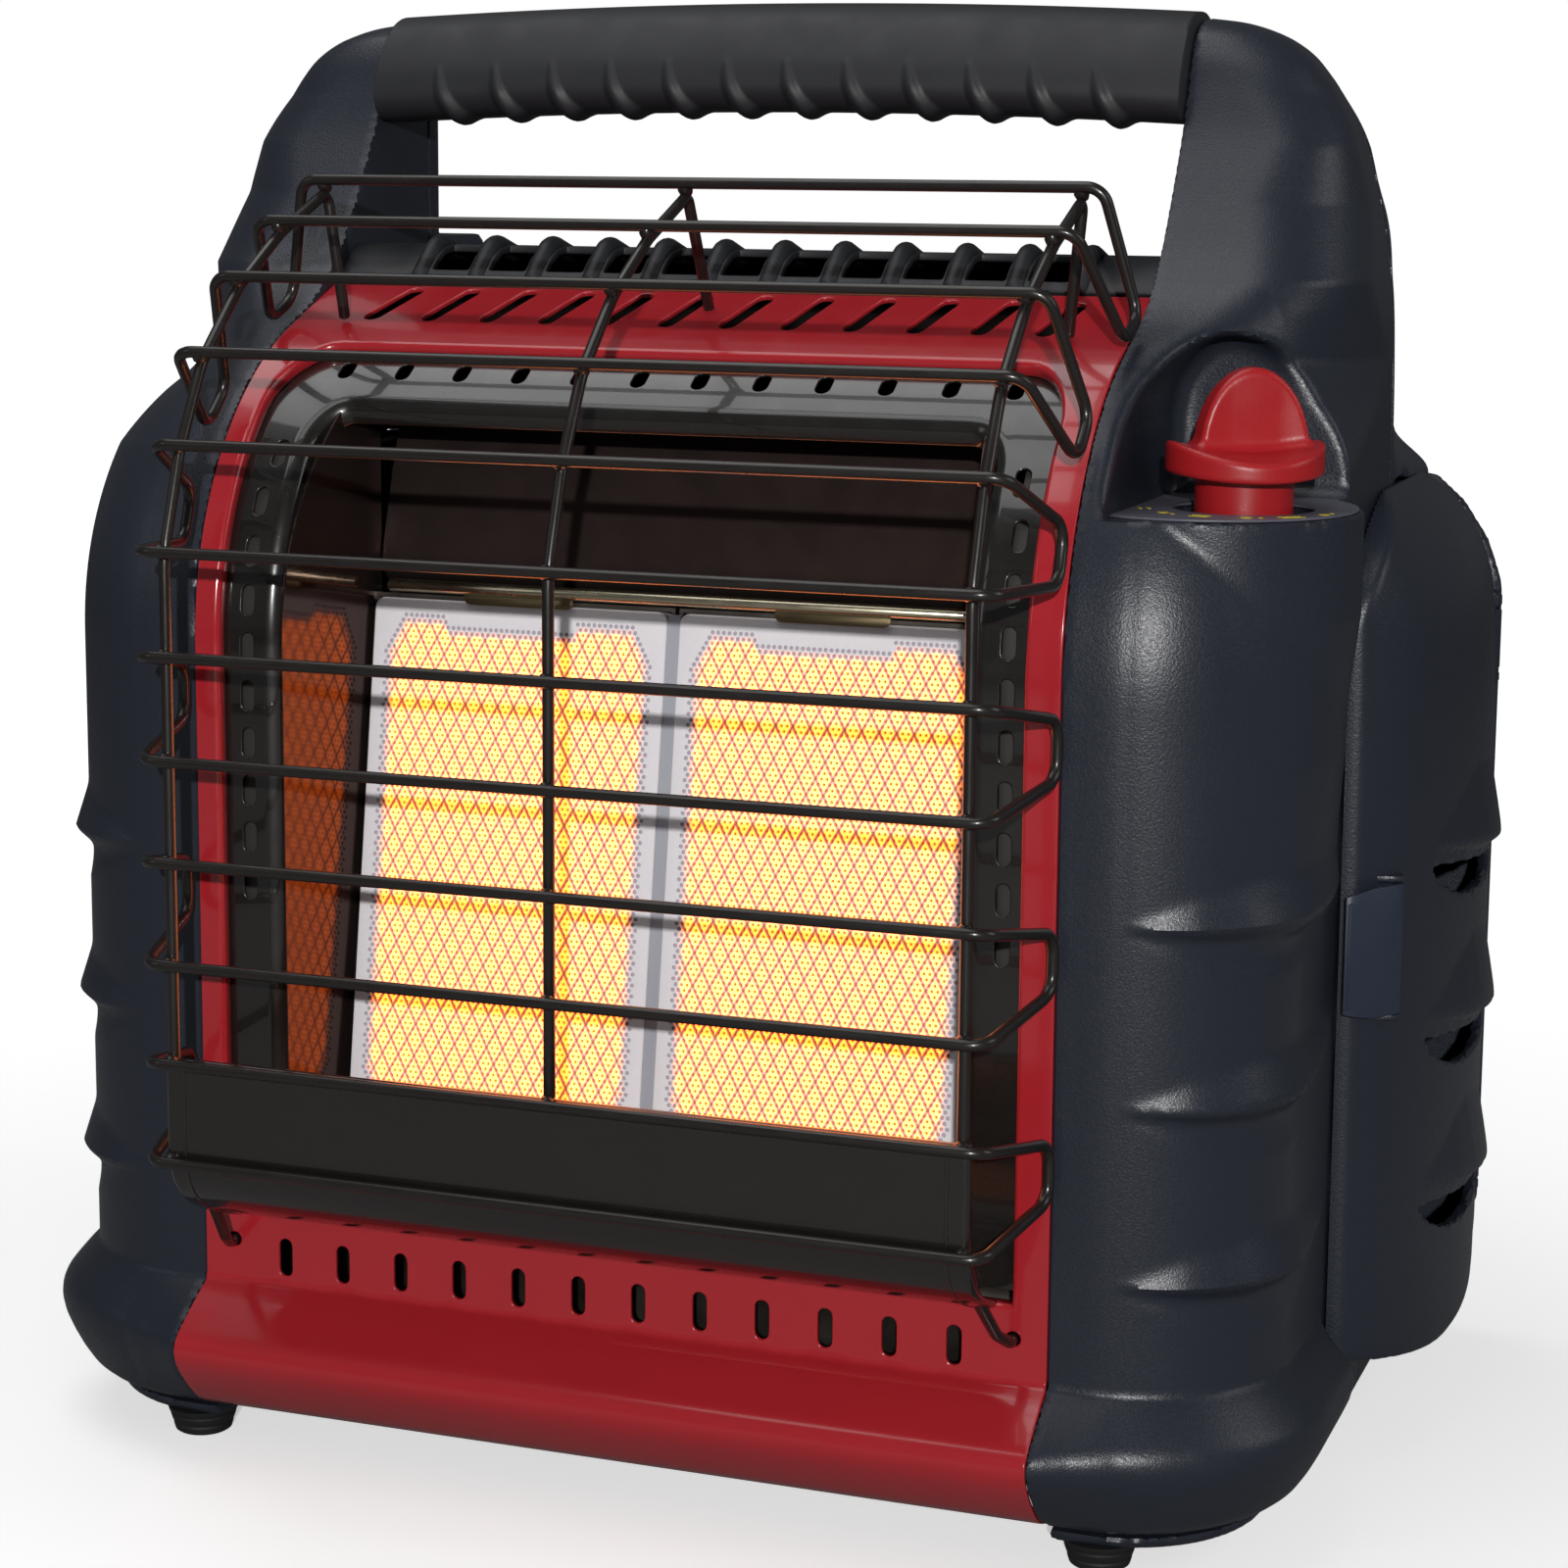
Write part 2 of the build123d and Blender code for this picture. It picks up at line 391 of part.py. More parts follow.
hz = TILE_H / 2
for name, cx in (("left_burner_tile", -TILE_X), ("right_burner_tile", TILE_X)):
    t = tbox(cx - TILE_W / 2, cx + TILE_W / 2, 0, TILE_T, -hz, hz)
    t -= tbox(cx - 38, cx + 38, -1, 0.6, -hz + 9, hz - 9)
    NODES[name] = t
NODES["burner_plenums"] = []
for cx in (-TILE_X, TILE_X):
    w = TILE_W / 2
    p = tbox(cx - w - 1.35, cx + w + 1.35, 3.0, 46.0, -hz - 1.4, hz + 1.4) - tbox(cx - w - 0.15, cx + w + 0.15, 2.0, 44.8, -hz - 0.2, hz + 0.2)
    p += tbox(cx - w - 0.2, cx + w + 0.2, TILE_T + 0.1, TILE_T + 1.3, -hz - 0.2, hz + 0.2) - tbox(cx - w + 6, cx + w - 6, TILE_T - 1, TILE_T + 3, -hz + 6, hz - 6)
    p += rod((cx, 62, 86), (cx, 62, 96.5), 12.4)
    p -= rod((cx, 62, 80), (cx, 62, 110), 10.4)
    NODES["burner_plenums"].append(p)
NODES["venturi_tubes"] = []
for cx in (-TILE_X, TILE_X):
    v = rod((cx, 62, 44), (cx, 62, 94), 10.0) + cone((cx, 62, 38), (cx, 62, 46), 13.5, 10.0)
    v -= rod((cx, 62, 40), (cx, 62, 95), 8.8) + cone((cx, 62, 37.9), (cx, 62, 44), 12.3, 8.8)
    NODES["venturi_tubes"].append(v)
clip_rod_y, clip_rod_z = 49.6, 260.6
NODES["tile_retainer_rod"] = rod((-95.5, clip_rod_y, clip_rod_z), (97.0, clip_rod_y, clip_rod_z), 2.4)
clips = None
for cx in (-TILE_X, TILE_X):
    c = tbox(cx - 17.5, cx + 17.5, -1.4, -0.2, hz - 5.0, hz + 1.6) + tbox(cx - 17.5, cx + 17.5, -1.4, 18.0, hz + 1.6, hz + 2.6)
    clips = c if clips is None else clips + c
NODES["tile_clips"] = clips - rod((-120, clip_rod_y, clip_rod_z), (120, clip_rod_y, clip_rod_z), 2.6)
bracket = box(-97, 97, 95.8, 97.3, 92, 252) - box(-80, 80, 90, 99, 110, 232)
bracket += box(-97, -85, 95.8, 112, 92, 93.5) + box(85, 97, 95.8, 112, 92, 93.5)
NODES["burner_bracket"] = bracket
NODES["pilot_burner"] = rod((0, 12, 94.5), (0, 12, 99.0), 5.0) + rod((0, 12, 99.0), (0, 16, 106), 3.2) + box(-7, 7, 8, 20, 93.6, 95.0)
NODES["thermocouple"] = rod((-12, 12, 93.6), (-12, 13, 110), 1.6) + rod((-12, 12, 93.6), (-12, 12, 96), 3.0)
NODES["igniter_electrode"] = rod((12, 12, 93.6), (12, 12, 102), 3.0) + rod((12, 12, 102), (9, 14.5, 108), 0.9)

# ---------------------------------------------------------------- gas train
valve = box(148, 181, 38, 75, 236, 268) + rod((KNOB_X, KNOB_Y, 268), (KNOB_X, KNOB_Y, 276), 11.0)
valve += rod((155, 56, 236), (155, 56, 228), 7.0) + rod((148, 62, 262), (142, 62, 262), 5.5) + rod((174, 46, 236), (174, 46, 230), 5.5)
valve -= rod((KNOB_X, KNOB_Y, 250), (KNOB_X, KNOB_Y, 280), 4.05)
NODES["gas_valve"] = valve
stem = rod((KNOB_X, KNOB_Y, 250.2), (KNOB_X, KNOB_Y, 300.0), 4.0) - box(KNOB_X - 5, KNOB_X + 5, KNOB_Y + 2.4, KNOB_Y + 5, 282.0, 301)
NODES["valve_stem"] = stem
NODES["igniter_piezo"] = rod((170, 66, 208), (170, 66, 235.6), 8.0) + rod((170, 66, 203), (170, 66, 208), 3.0)
manifold = tube([(155, 56, 227.8), (155, 56, 60), (148, 62, 21), (-58, 62, 21)], 4.0, [30.0, 16.0])
NODES["burner_manifold"] = manifold
noz = None
for cx in (-TILE_X, TILE_X):
    n = rod((cx, 62, 25.3), (cx, 62, 31), 6.5) + cone((cx, 62, 31), (cx, 62, 36), 4.5, 2.0)
    noz = n if noz is None else noz + n
NODES["burner_orifices"] = noz
# bay liners, with their open side towards the doors
lin = box(BAY_X, 184.6, BAY_Y0 + 0.5, BAY_Y1, BAY_Z0, BAY_Z1) - box(BAY_X + 2, 190, BAY_Y0 + 2.5, BAY_Y1 - 2.0, BAY_Z0 + 2.0, BAY_Z1 - 2.0)
lin -= rod((SWIVEL_X, 90, SWIVEL_Z), (SWIVEL_X, 105, SWIVEL_Z), 6.2)
for i in range(5):
    lin -= box(BAY_X - 1, BAY_X + 4, 130 + 18 * i, 138 + 18 * i, 60, 180)
both("tank_bay_liner", lin)
swv = rod((SWIVEL_X, 84, SWIVEL_Z), (SWIVEL_X, 104, SWIVEL_Z), 6.0) + box(SWIVEL_X - 8, SWIVEL_X + 8, 101.2, 121, SWIVEL_Z - 7, SWIVEL_Z + 7)
swv += rod((SWIVEL_X, SWIVEL_Y, SWIVEL_Z - 22), (SWIVEL_X, SWIVEL_Y, SWIVEL_Z - 6), 4.0)
NODES["swivel_fittings"] = [swv, mirror_x(swv)]
arm = rod((SWIVEL_X, SWIVEL_Y, SWIVEL_Z - 20), (SWIVEL_X, SWIVEL_Y, SWIVEL_Z - 7.4), 9.0)
ax, ay = TANK_X - SWIVEL_X, TANK_Y - SWIVEL_Y
al = math.hypot(ax, ay)
px, py = -ay / al * 6.0, ax / al * 6.0
arm += prism_z([(SWIVEL_X + px, SWIVEL_Y + py), (TANK_X + px, TANK_Y + py), (TANK_X - px, TANK_Y - py), (SWIVEL_X - px, SWIVEL_Y - py)], SWIVEL_Z - 19.0, SWIVEL_Z - 8.5)
reg = rod((TANK_X, TANK_Y, INLET_Z + 17), (TANK_X, TANK_Y, INLET_Z + 33), 24.0) + rod((TANK_X, TANK_Y, INLET_Z + 33), (TANK_X, TANK_Y, INLET_Z + 41), 17.0) + rod((TANK_X, TANK_Y, INLET_Z), (TANK_X, TANK_Y, INLET_Z + 17), 17.5)
reg = reg + arm
reg -= rod((SWIVEL_X, SWIVEL_Y, SWIVEL_Z - 32), (SWIVEL_X, SWIVEL_Y, SWIVEL_Z - 2), 4.05)
reg -= rod((TANK_X, TANK_Y, INLET_Z - 1), (TANK_X, TANK_Y, INLET_Z + 15), THREAD_R)
both("regulator", reg)
NODES["right_gas_line"] = tube([(SWIVEL_X, 83.8, SWIVEL_Z), (SWIVEL_X, 62, SWIVEL_Z), (SWIVEL_X, 62, 262), (141.8, 62, 262)], 3.0, [5.5, 5.5])
NODES["left_gas_line"] = tube([(-SWIVEL_X, 83.8, SWIVEL_Z), (-SWIVEL_X, 60, SWIVEL_Z), (-SWIVEL_X, 76, 32), (150, 84, 32), (174, 46, 60), (174, 46, 229.8)], 3.0, [10.0, 16.0, 16.0, 14.0])

# ---------------------------------------------------------------- knob and dial
dial = prism_z([(NICHE_X + 0.5, 30.0)] + [(POD_X + 42.0 * math.cos(math.radians(a)), POD_Y + 42.0 * math.sin(math.radians(a))) for a in range(-108, 45, 8)] + [(180.0, NICHE_Y - 0.6), (NICHE_X + 0.5, NICHE_Y - 0.6)], PLAT_Z, PLAT_Z + 0.8)
dial = (dial & prism_z([(NICHE_X + 0.4, 12.0), (197.0, 12.0), (197.0, 68.0), (187.6, 76.0), (187.6, NICHE_Y - 0.5), (NICHE_X + 0.4, NICHE_Y - 0.5)], 280, 300)) - rod((KNOB_X, KNOB_Y, 280), (KNOB_X, KNOB_Y, 300), KNOB_HOLE)
NODES["dial_plate"] = dial
KB = PLAT_Z + 8.0        # underside of the knob's disc
knob = rod((KNOB_X, KNOB_Y, PLAT_Z - 9), (KNOB_X, KNOB_Y, KB + 2), 13.5) + rod((KNOB_X, KNOB_Y, KB), (KNOB_X, KNOB_Y, KB + 6.5), 21.7)
fin_pts = [(-15.5, KB + 5)] + [(15.5 * math.cos(math.radians(a)) * 1.0, KB + 7 + 24.0 * math.sin(math.radians(a))) for a in range(175, 4, -15)] + [(15.5, KB + 5)]
fin = prism_y([(x, z) for x, z in fin_pts], -4.0, 4.0)
fin = Pos(KNOB_X, KNOB_Y, 0) * Rot(0, 0, 12) * fin
knob = knob + fin
knob -= rod((KNOB_X, KNOB_Y, PLAT_Z - 20), (KNOB_X, KNOB_Y, 303.5), 4.05) - box(KNOB_X - 5, KNOB_X + 5, KNOB_Y + 2.45, KNOB_Y + 5, 270, 310)
knob -= rod((KNOB_X, KNOB_Y, PLAT_Z - 20), (KNOB_X, KNOB_Y, 287.5), 10.0)
NODES["control_knob"] = knob
coil = Solid.make_cylinder(8.2, 9.6, Plane(origin=(KNOB_X, KNOB_Y, 277.4))) - Solid.make_cylinder(6.8, 9.6, Plane(origin=(KNOB_X, KNOB_Y, 277.4)))
NODES["knob_spring"] = coil

# ---------------------------------------------------------------- tank doors
def door_plan():
    pts = [(189.3, DOOR_Y0), (193.0, DOOR_Y0)]
    pts += [(199.0, 101.0), (204.5, 110.0), (209.5, 121.5), (213.5, 136.0), (216.3, 152.0), (217.5, 168.0), (217.3, 180.0), (216.2, 194.0), (214.5, 207.0), (212.6, 220.0), (210.9, 232.0), (210.2, DOOR_Y1)]
    return pts + [(189.3, DOOR_Y1)]


door_f = [(180.0, DOOR_Z0), (203.0, DOOR_Z0), (210.5, 39.5), (215.0, 45.5), (217.5, 54.0), (222.0, 60.0), (222.0, 224.0), (216.9, 238.0), (215.8, 249.0), (213.3, 260.0), (208.5, 270.7), (202.6, 279.0), (195.5, 287.0), (188.0, 292.5), (180.0, DOOR_Z1)]
d_out = prism_z(door_plan(), 0, 310) & prism_y(door_f, 80, 260) & prism_x(door_s, 180, 230)
plan_in = [(180.0, DOOR_Y0 + 2.4), (192.0, DOOR_Y0 + 2.4)] + [(x - 2.4, y) for x, y in door_plan()[2:-2]] + [(207.9, DOOR_Y1 - 2.4), (180.0, DOOR_Y1 - 2.4)]
d_in = prism_z(plan_in, 0, 310) & prism_y([(x if x < 181 else x - 1.6, z) for x, z in offset_poly(door_f, 2.4)], 80, 260) & prism_x(offset_poly(door_s, 2.4), 170, 230)
door = d_out - d_in
# hooded ridges over the vents
for zc in (172.0, 118.5, 65.0):
    hood_lip = prism([(205.0, 126, zc + 22), (216.0, 126, zc + 22), (221.8, 126, zc + 9), (221.8, 126, zc + 4.5), (205.0, 126, zc + 4.5)], (0, 88, 0))
    door += hood_lip & prism_z([(209.0, 126), (212.2, 136), (214.4, 150), (215.3, 168), (215.1, 180), (214.0, 194), (212.4, 207), (211.4, 214), (213.4, 214), (217.6, 206), (221.2, 192), (221.8, 178), (221.8, 160), (217.5, 142), (211.4, 126)], 0, 300)
    door -= box(200, 230, 124, 211, zc - 7, zc + 4.5)
for z0, z1 in EARS:
    door -= box(HINGE_X - 6.5, HINGE_X + 8, HINGE_Y - 5.8, 246, z0 - 0.5, z1 + 0.5)
for z0, z1 in ((56.5, 75.8), (226.5, 245.8)):
    door += rod((HINGE_X, HINGE_Y, z0), (HINGE_X, HINGE_Y, z1), 4.0)
    door += box(HINGE_X, HINGE_X + 4.2, HINGE_Y - 4, HINGE_Y + 0.5, z0, z1)
    door -= rod((HINGE_X, HINGE_Y, z0 - 1), (HINGE_X, HINGE_Y, z1 + 1), 2.05)
# lugs with stub pins that carry the latch
LATCH_Z0, LATCH_Z1 = 143.0, 184.0
LATCH_X, LATCH_Y = 204.0, 104.0
lug_plan = [(198.2, 100.7), (202.2, 101.9), (204.0, 102.3), (205.7, 104.0), (205.3, 105.7), (204.0, 108.2), (201.9, 109.7), (199.4, 104.7)]
for z0, z1, p0, p1 in ((LATCH_Z0 - 3.5, LATCH_Z0 - 0.4, LATCH_Z0 - 1.0, LATCH_Z0 + 4.0), (LATCH_Z1 + 0.4, LATCH_Z1 + 3.5, LATCH_Z1 - 4.0, LATCH_Z1 + 1.0)):
    door += prism_z(lug_plan, z0, z1) + rod((LATCH_X, LATCH_Y, p0), (LATCH_X, LATCH_Y, p1), 0.8)
both("tank_door", door)
pins = [rod((HINGE_X, HINGE_Y, z0), (HINGE_X, HINGE_Y, z1), 1.99) for z0, z1 in ((51.6, 80.7), (221.6, 250.7))]
NODES["door_hinge_pins"] = pins + [mirror_x(p) for p in pins]
latch = prism_z([(190.4, 86.6), (192.6, 85.7), (197.2, 91.2), (201.9, 96.8), (204.9, 101.4), (205.7, 103.7), (203.3, 105.4), (202.2, 103.2), (199.6, 99.4), (195.6, 95.7), (193.8, 92.9)], LATCH_Z0, LATCH_Z1)
latch += rod((LATCH_X, LATCH_Y, LATCH_Z0), (LATCH_X, LATCH_Y, LATCH_Z1), 1.75)
latch -= rod((LATCH_X, LATCH_Y, LATCH_Z0 - 1), (LATCH_X, LATCH_Y, LATCH_Z0 + 4.5), 0.86) + rod((LATCH_X, LATCH_Y, LATCH_Z1 - 4.5), (LATCH_X, LATCH_Y, LATCH_Z1 + 1), 0.86)
both("door_latch", latch)

# ---------------------------------------------------------------- fan, batteries and switches
shroud = rod((0, 232, FAN_Z), (0, 248.6, FAN_Z), FAN_R + 4.0) - rod((0, 231, FAN_Z), (0, 250, FAN_Z), FAN_R + 1.5)
for a in (90, 210, 330):
    c, s = math.cos(math.radians(a)), math.sin(math.radians(a))
    shroud += rod((c * 14.5, 234.0, FAN_Z + s * 14.5), (c * (FAN_R + 2.5), 234.0, FAN_Z + s * (FAN_R + 2.5)), 1.9)
shroud += rod((0, 228, FAN_Z), (0, 236, FAN_Z), 15.5) - rod((0, 227, FAN_Z), (0, 237, FAN_Z), 13.2)
NODES["fan_shroud"] = shroud
NODES["fan_motor"] = rod((0, 206, FAN_Z), (0, 235.5, FAN_Z), 13.0) - rod((0, 215, FAN_Z), (0, 236, FAN_Z), 1.55)
rotor = rod((0, 237.2, FAN_Z), (0, 246.8, FAN_Z), 11.0) + rod((0, 216, FAN_Z), (0, 240, FAN_Z), 1.5)
for k in range(5):
    a = 72 * k + 20
    blade = Pos(24.5, 242.0, 0) * Rot(32, 0, 0) * Box(31, 1.4, 15)
    rotor += Pos(0, 0, FAN_Z) * Rot(0, a, 0) * blade
NODES["fan_rotor"] = rotor & (rod((0, 200, FAN_Z), (0, 248, FAN_Z), FAN_R) - (rod((0, 200, FAN_Z), (0, 236.9, FAN_Z), 60) - rod((0, 199, FAN_Z), (0, 237, FAN_Z), 1.5)))
bat = box(-BAT_X, BAT_X, BAT_Y0, 248.4, BAT_Z0, BAT_Z1) - box(-BAT_X + 2, BAT_X - 2, BAT_Y0 + 2, 249, BAT_Z0 + 2, BAT_Z1 - 2)
NODES["battery_box"] = bat
con = None
for x in (-65.8, 65.2):
    for z in (41.5, 78.5):
        c = box(x, x + 0.6, 218, 236, z - 9, z + 9)
        con = c if con is None else con + c
NODES["battery_contacts"] = con
cov = box(-70, 70, 249.0, 251.8, 24.0, 100.0)
for i in range(7):
    cov -= box(-30, 30, 251.2, 252, 34 + 3.2 * i, 35.4 + 3.2 * i)
NODES["battery_cover"] = cov + rod((-71.8, 250.4, 98.8), (71.8, 250.4, 98.8), 1.0)
sw = box(78.3, 97.7, 238, 251.6, 150.3, 163.7) - box(80.0, 96.0, 242.0, 253, 151.2, 162.8)
NODES["fan_switch_body"] = sw - rod((79.0, 245.5, 157.0), (97.0, 245.5, 157.0), 1.05)
rock = prism_x([(243.6, 152.4), (251.9, 152.6), (250.2, 157.0), (250.9, 161.6), (243.6, 161.6)], 80.6, 95.4)
NODES["fan_switch_rocker"] = rock + rod((79.3, 245.5, 157.0), (96.7, 245.5, 157.0), 1.0)
NODES["power_socket"] = rod((88, 240, 130), (88, 251.9, 130), 5.1) - rod((88, 244, 130), (88, 253, 130), 3.2) + rod((88, 243, 130), (88, 250, 130), 0.9)
tip = box(-172, -146, 44, 74, 14.0, 50.0) - box(-170, -148, 46, 72, 16.0, 48.0)
tip += rod((-171, 59, 44), (-169, 59, 44), 2.8) + rod((-149, 59, 44), (-147, 59, 44), 2.8)
NODES["tip_switch_case"] = tip - (rod((-172.5, 59, 44), (-168, 59, 44), 1.55) + rod((-150, 59, 44), (-145, 59, 44), 1.55))
NODES["tip_switch_pendulum"] = rod((-171.5, 59, 44), (-146.5, 59, 44), 1.5) + rod((-159, 59, 44), (-159, 59, 30), 1.4) + rod((-159, 59, 18.5), (-159, 59, 31), 5.5)

# ---------------------------------------------------------------- fasteners
base_scr = None
for x, y in FOOT_XY:
    b = rod((x, y, 1.0), (x, y, 2.95), 3.4)
    base_scr = b if base_scr is None else base_scr + b
NODES["foot_screws"] = base_scr
rear_scr = None
for s in (1, -1):
    for z in (30.0, 150.0, 275.0):
        b = rod((s * 132.0, BACK_Y, z), (s * 132.0, BACK_Y - 1.4, z), 3.0)
        rear_scr = b if rear_scr is None else rear_scr + b
NODES["rear_screws"] = rear_scr
cut = None
for s in (1, -1):
    for z in (30.0, 150.0, 275.0):
        c = rod((s * 132.0, BACK_Y - 1.5, z), (s * 132.0, BACK_Y + 1, z), 3.2)
        cut = c if cut is None else cut + c
NODES["rear_shell"] = NODES["rear_shell"] - cut

# ---------------------------------------------------------------- export
for name, shape in NODES.items():
    solids = [t for piece in (shape if isinstance(shape, list) else [shape]) for t in (Pos(0, -Y_CENTRE, 0) * piece).solids()]
    out = Compound(children=solids) if len(solids) > 1 else solids[0]
    export_step(out, f"parts/{name}.step")
    bb = out.bounding_box()
    print(f"{name:24s} {len(solids)} solids  {out.volume/1000:8.2f} cm3  x {bb.min.X:7.1f} {bb.max.X:7.1f}  y {bb.min.Y:7.1f} {bb.max.Y:7.1f}  z {bb.min.Z:7.1f} {bb.max.Z:7.1f}")
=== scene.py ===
import bpy
import math
import numpy as np
from mathutils import Matrix, Vector
from mathutils.geometry import delaunay_2d_cdt

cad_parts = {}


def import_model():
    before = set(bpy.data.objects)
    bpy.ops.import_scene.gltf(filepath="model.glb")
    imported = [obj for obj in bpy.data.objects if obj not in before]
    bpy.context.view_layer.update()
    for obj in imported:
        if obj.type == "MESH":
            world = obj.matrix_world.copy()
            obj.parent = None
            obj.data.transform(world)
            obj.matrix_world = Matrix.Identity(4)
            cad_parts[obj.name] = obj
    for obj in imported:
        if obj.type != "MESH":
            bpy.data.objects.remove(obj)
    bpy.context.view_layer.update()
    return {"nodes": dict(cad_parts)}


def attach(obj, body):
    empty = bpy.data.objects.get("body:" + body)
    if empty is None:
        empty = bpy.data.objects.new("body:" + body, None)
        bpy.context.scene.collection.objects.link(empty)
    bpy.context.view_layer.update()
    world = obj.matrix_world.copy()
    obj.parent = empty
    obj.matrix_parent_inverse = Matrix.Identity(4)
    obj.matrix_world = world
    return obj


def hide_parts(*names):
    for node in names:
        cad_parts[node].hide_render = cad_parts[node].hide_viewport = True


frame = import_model()
N = frame["nodes"]

# Shapes are laid out in millimetres with y = 0 on the front panel and z = 0 on the floor.
YC = 103.75


def W(v):
    v = np.array(v, float)
    v[..., 1] -= YC
    return v / 1000.0


# ------------------------------------------------------------------ camera, lights, world
def add_camera():
    az, el, ro = math.radians(19.940), math.radians(9.071), math.radians(0.471)
    back = Vector((math.sin(az) * math.cos(el), -math.cos(az) * math.cos(el), math.sin(el)))
    r = (-back).cross(Vector((0, 0, 1))).normalized()
    u = r.cross(-back)
    r2 = math.cos(ro) * r + math.sin(ro) * u
    u2 = -math.sin(ro) * r + math.cos(ro) * u
    cam = bpy.data.cameras.new("camera")
    ob = bpy.data.objects.new("camera", cam)
    bpy.context.scene.collection.objects.link(ob)
    m = Matrix((r2, u2, back)).transposed().to_4x4()
    m.translation = Vector((0.36463, -0.96098, 0.38480))
    ob.matrix_world = m
    cam.lens, cam.sensor_width, cam.sensor_fit = 77.77, 36.0, "HORIZONTAL"
    cam.shift_x, cam.shift_y = -0.00295, -0.0499
    cam.clip_start, cam.clip_end = 0.02, 50
    bpy.context.scene.camera = ob


add_camera()
bpy.context.scene.view_settings.view_transform = "Standard"


def area(name, loc, target, w, h, power, color=(1, 1, 1)):
    d = bpy.data.lights.new(name, "AREA")
    d.shape, d.size, d.size_y, d.energy, d.color = "RECTANGLE", w, h, power, color
    o = bpy.data.objects.new(name, d)
    bpy.context.scene.collection.objects.link(o)
    o.location = loc
    o.rotation_euler = (Vector(loc) - Vector(target)).to_track_quat("Z", "Y").to_euler()
    return o


area("key", (0.76, -2.12, 0.785), (0.02, -0.05, 0.2), 0.035, 0.035, 33.0, (1.0, 0.99, 0.98))
area("overhead", (-0.30, -0.10, 1.50), (0, 0, 0.25), 1.4, 0.9, 6.5)
area("side_fill", (-1.5, -1.3, 1.0), (0, 0, 0.25), 0.5, 0.8, 1.0)
area("right_fill", (1.6, 0.1, 1.0), (0, 0, 0.2), 0.6, 0.9, 3.0)


def world():
    w = bpy.data.worlds.new("studio")
    bpy.context.scene.world = w
    w.use_nodes = True
    t = w.node_tree
    t.nodes.clear()
    out = t.nodes.new("ShaderNodeOutputWorld")
    lp = t.nodes.new("ShaderNodeLightPath")
    a, b = t.nodes.new("ShaderNodeBackground"), t.nodes.new("ShaderNodeBackground")
    a.inputs[0].default_value, a.inputs[1].default_value = (0.93, 0.96, 1.0, 1), 0.085
    b.inputs[0].default_value, b.inputs[1].default_value = (1, 1, 1, 1), 1.0
    m = t.nodes.new("ShaderNodeMixShader")
    t.links.new(lp.outputs["Is Camera Ray"], m.inputs[0])
    t.links.new(a.outputs[0], m.inputs[1])
    t.links.new(b.outputs[0], m.inputs[2])
    t.links.new(m.outputs[0], out.inputs[0])


world()


# ------------------------------------------------------------------ materials
class Tree:
    def __init__(s, name):
        s.m = bpy.data.materials.new(name)
        s.m.use_nodes = True
        s.t = s.m.node_tree
        s.t.nodes.clear()
        s.out = s.add("ShaderNodeOutputMaterial")
        s.b = s.add("ShaderNodeBsdfPrincipled")
        s.link(s.b.outputs[0], s.out.inputs[0])
        s.co = s.add("ShaderNodeTexCoord").outputs["Object"]

    def add(s, kind, **k):
        n = s.t.nodes.new(kind)
        for a, v in k.items():
            setattr(n, a, v)
        return n

    def link(s, a, b):
        s.t.links.new(a, b)

    def noise(s, scale, detail=2.0, rough=0.5, vec=None, stretch=None):
        n = s.add("ShaderNodeTexNoise")
        n.inputs["Scale"].default_value, n.inputs["Detail"].default_value, n.inputs["Roughness"].default_value = scale, detail, rough
        v = vec or s.co
        if stretch:
            mp = s.add("ShaderNodeMapping")
            mp.inputs["Scale"].default_value = stretch
            s.link(v, mp.inputs[0])
            v = mp.outputs[0]
        s.link(v, n.inputs["Vector"])
        return n.outputs["Fac"]

    def ramp(s, fac, stops):
        r = s.add("ShaderNodeValToRGB")
        e = r.color_ramp.elements
        while len(e) < len(stops):
            e.new(0.5)
        for el, (p, c) in zip(e, stops):
            el.position, el.color = p, (*c, 1) if len(c) == 3 else c
        s.link(fac, r.inputs[0])
        return r.outputs[0]

    def remap(s, fac, a, b, c, d):
        r = s.add("ShaderNodeMapRange")
        for i, v in enumerate((a, b, c, d)):
            r.inputs[i + 1].default_value = v
        s.link(fac, r.inputs[0])
        return r.outputs[0]

    def mix(s, fac, a, b, kind="MIX"):
        m = s.add("ShaderNodeMix", data_type="RGBA", blend_type=kind)
        for sock, v in ((m.inputs[0], fac), (m.inputs[6], a), (m.inputs[7], b)):
            if isinstance(v, (int, float)):
                sock.default_value = v
            elif isinstance(v, tuple):
                sock.default_value = (*v, 1)
            else:
                s.link(v, sock)
        return m.outputs[2]

    def bump(s, height, strength, dist):
        b = s.add("ShaderNodeBump")
        b.inputs["Strength"].default_value, b.inputs["Distance"].default_value = strength, dist
        s.link(height, b.inputs["Height"])
        s.link(b.outputs[0], s.b.inputs["Normal"])
        return b

    def set(s, **k):
        for a, v in k.items():
            s.b.inputs[a.replace("_", " ")].default_value = v


def mul(c, k):
    return tuple(min(1.0, x * k) for x in c)


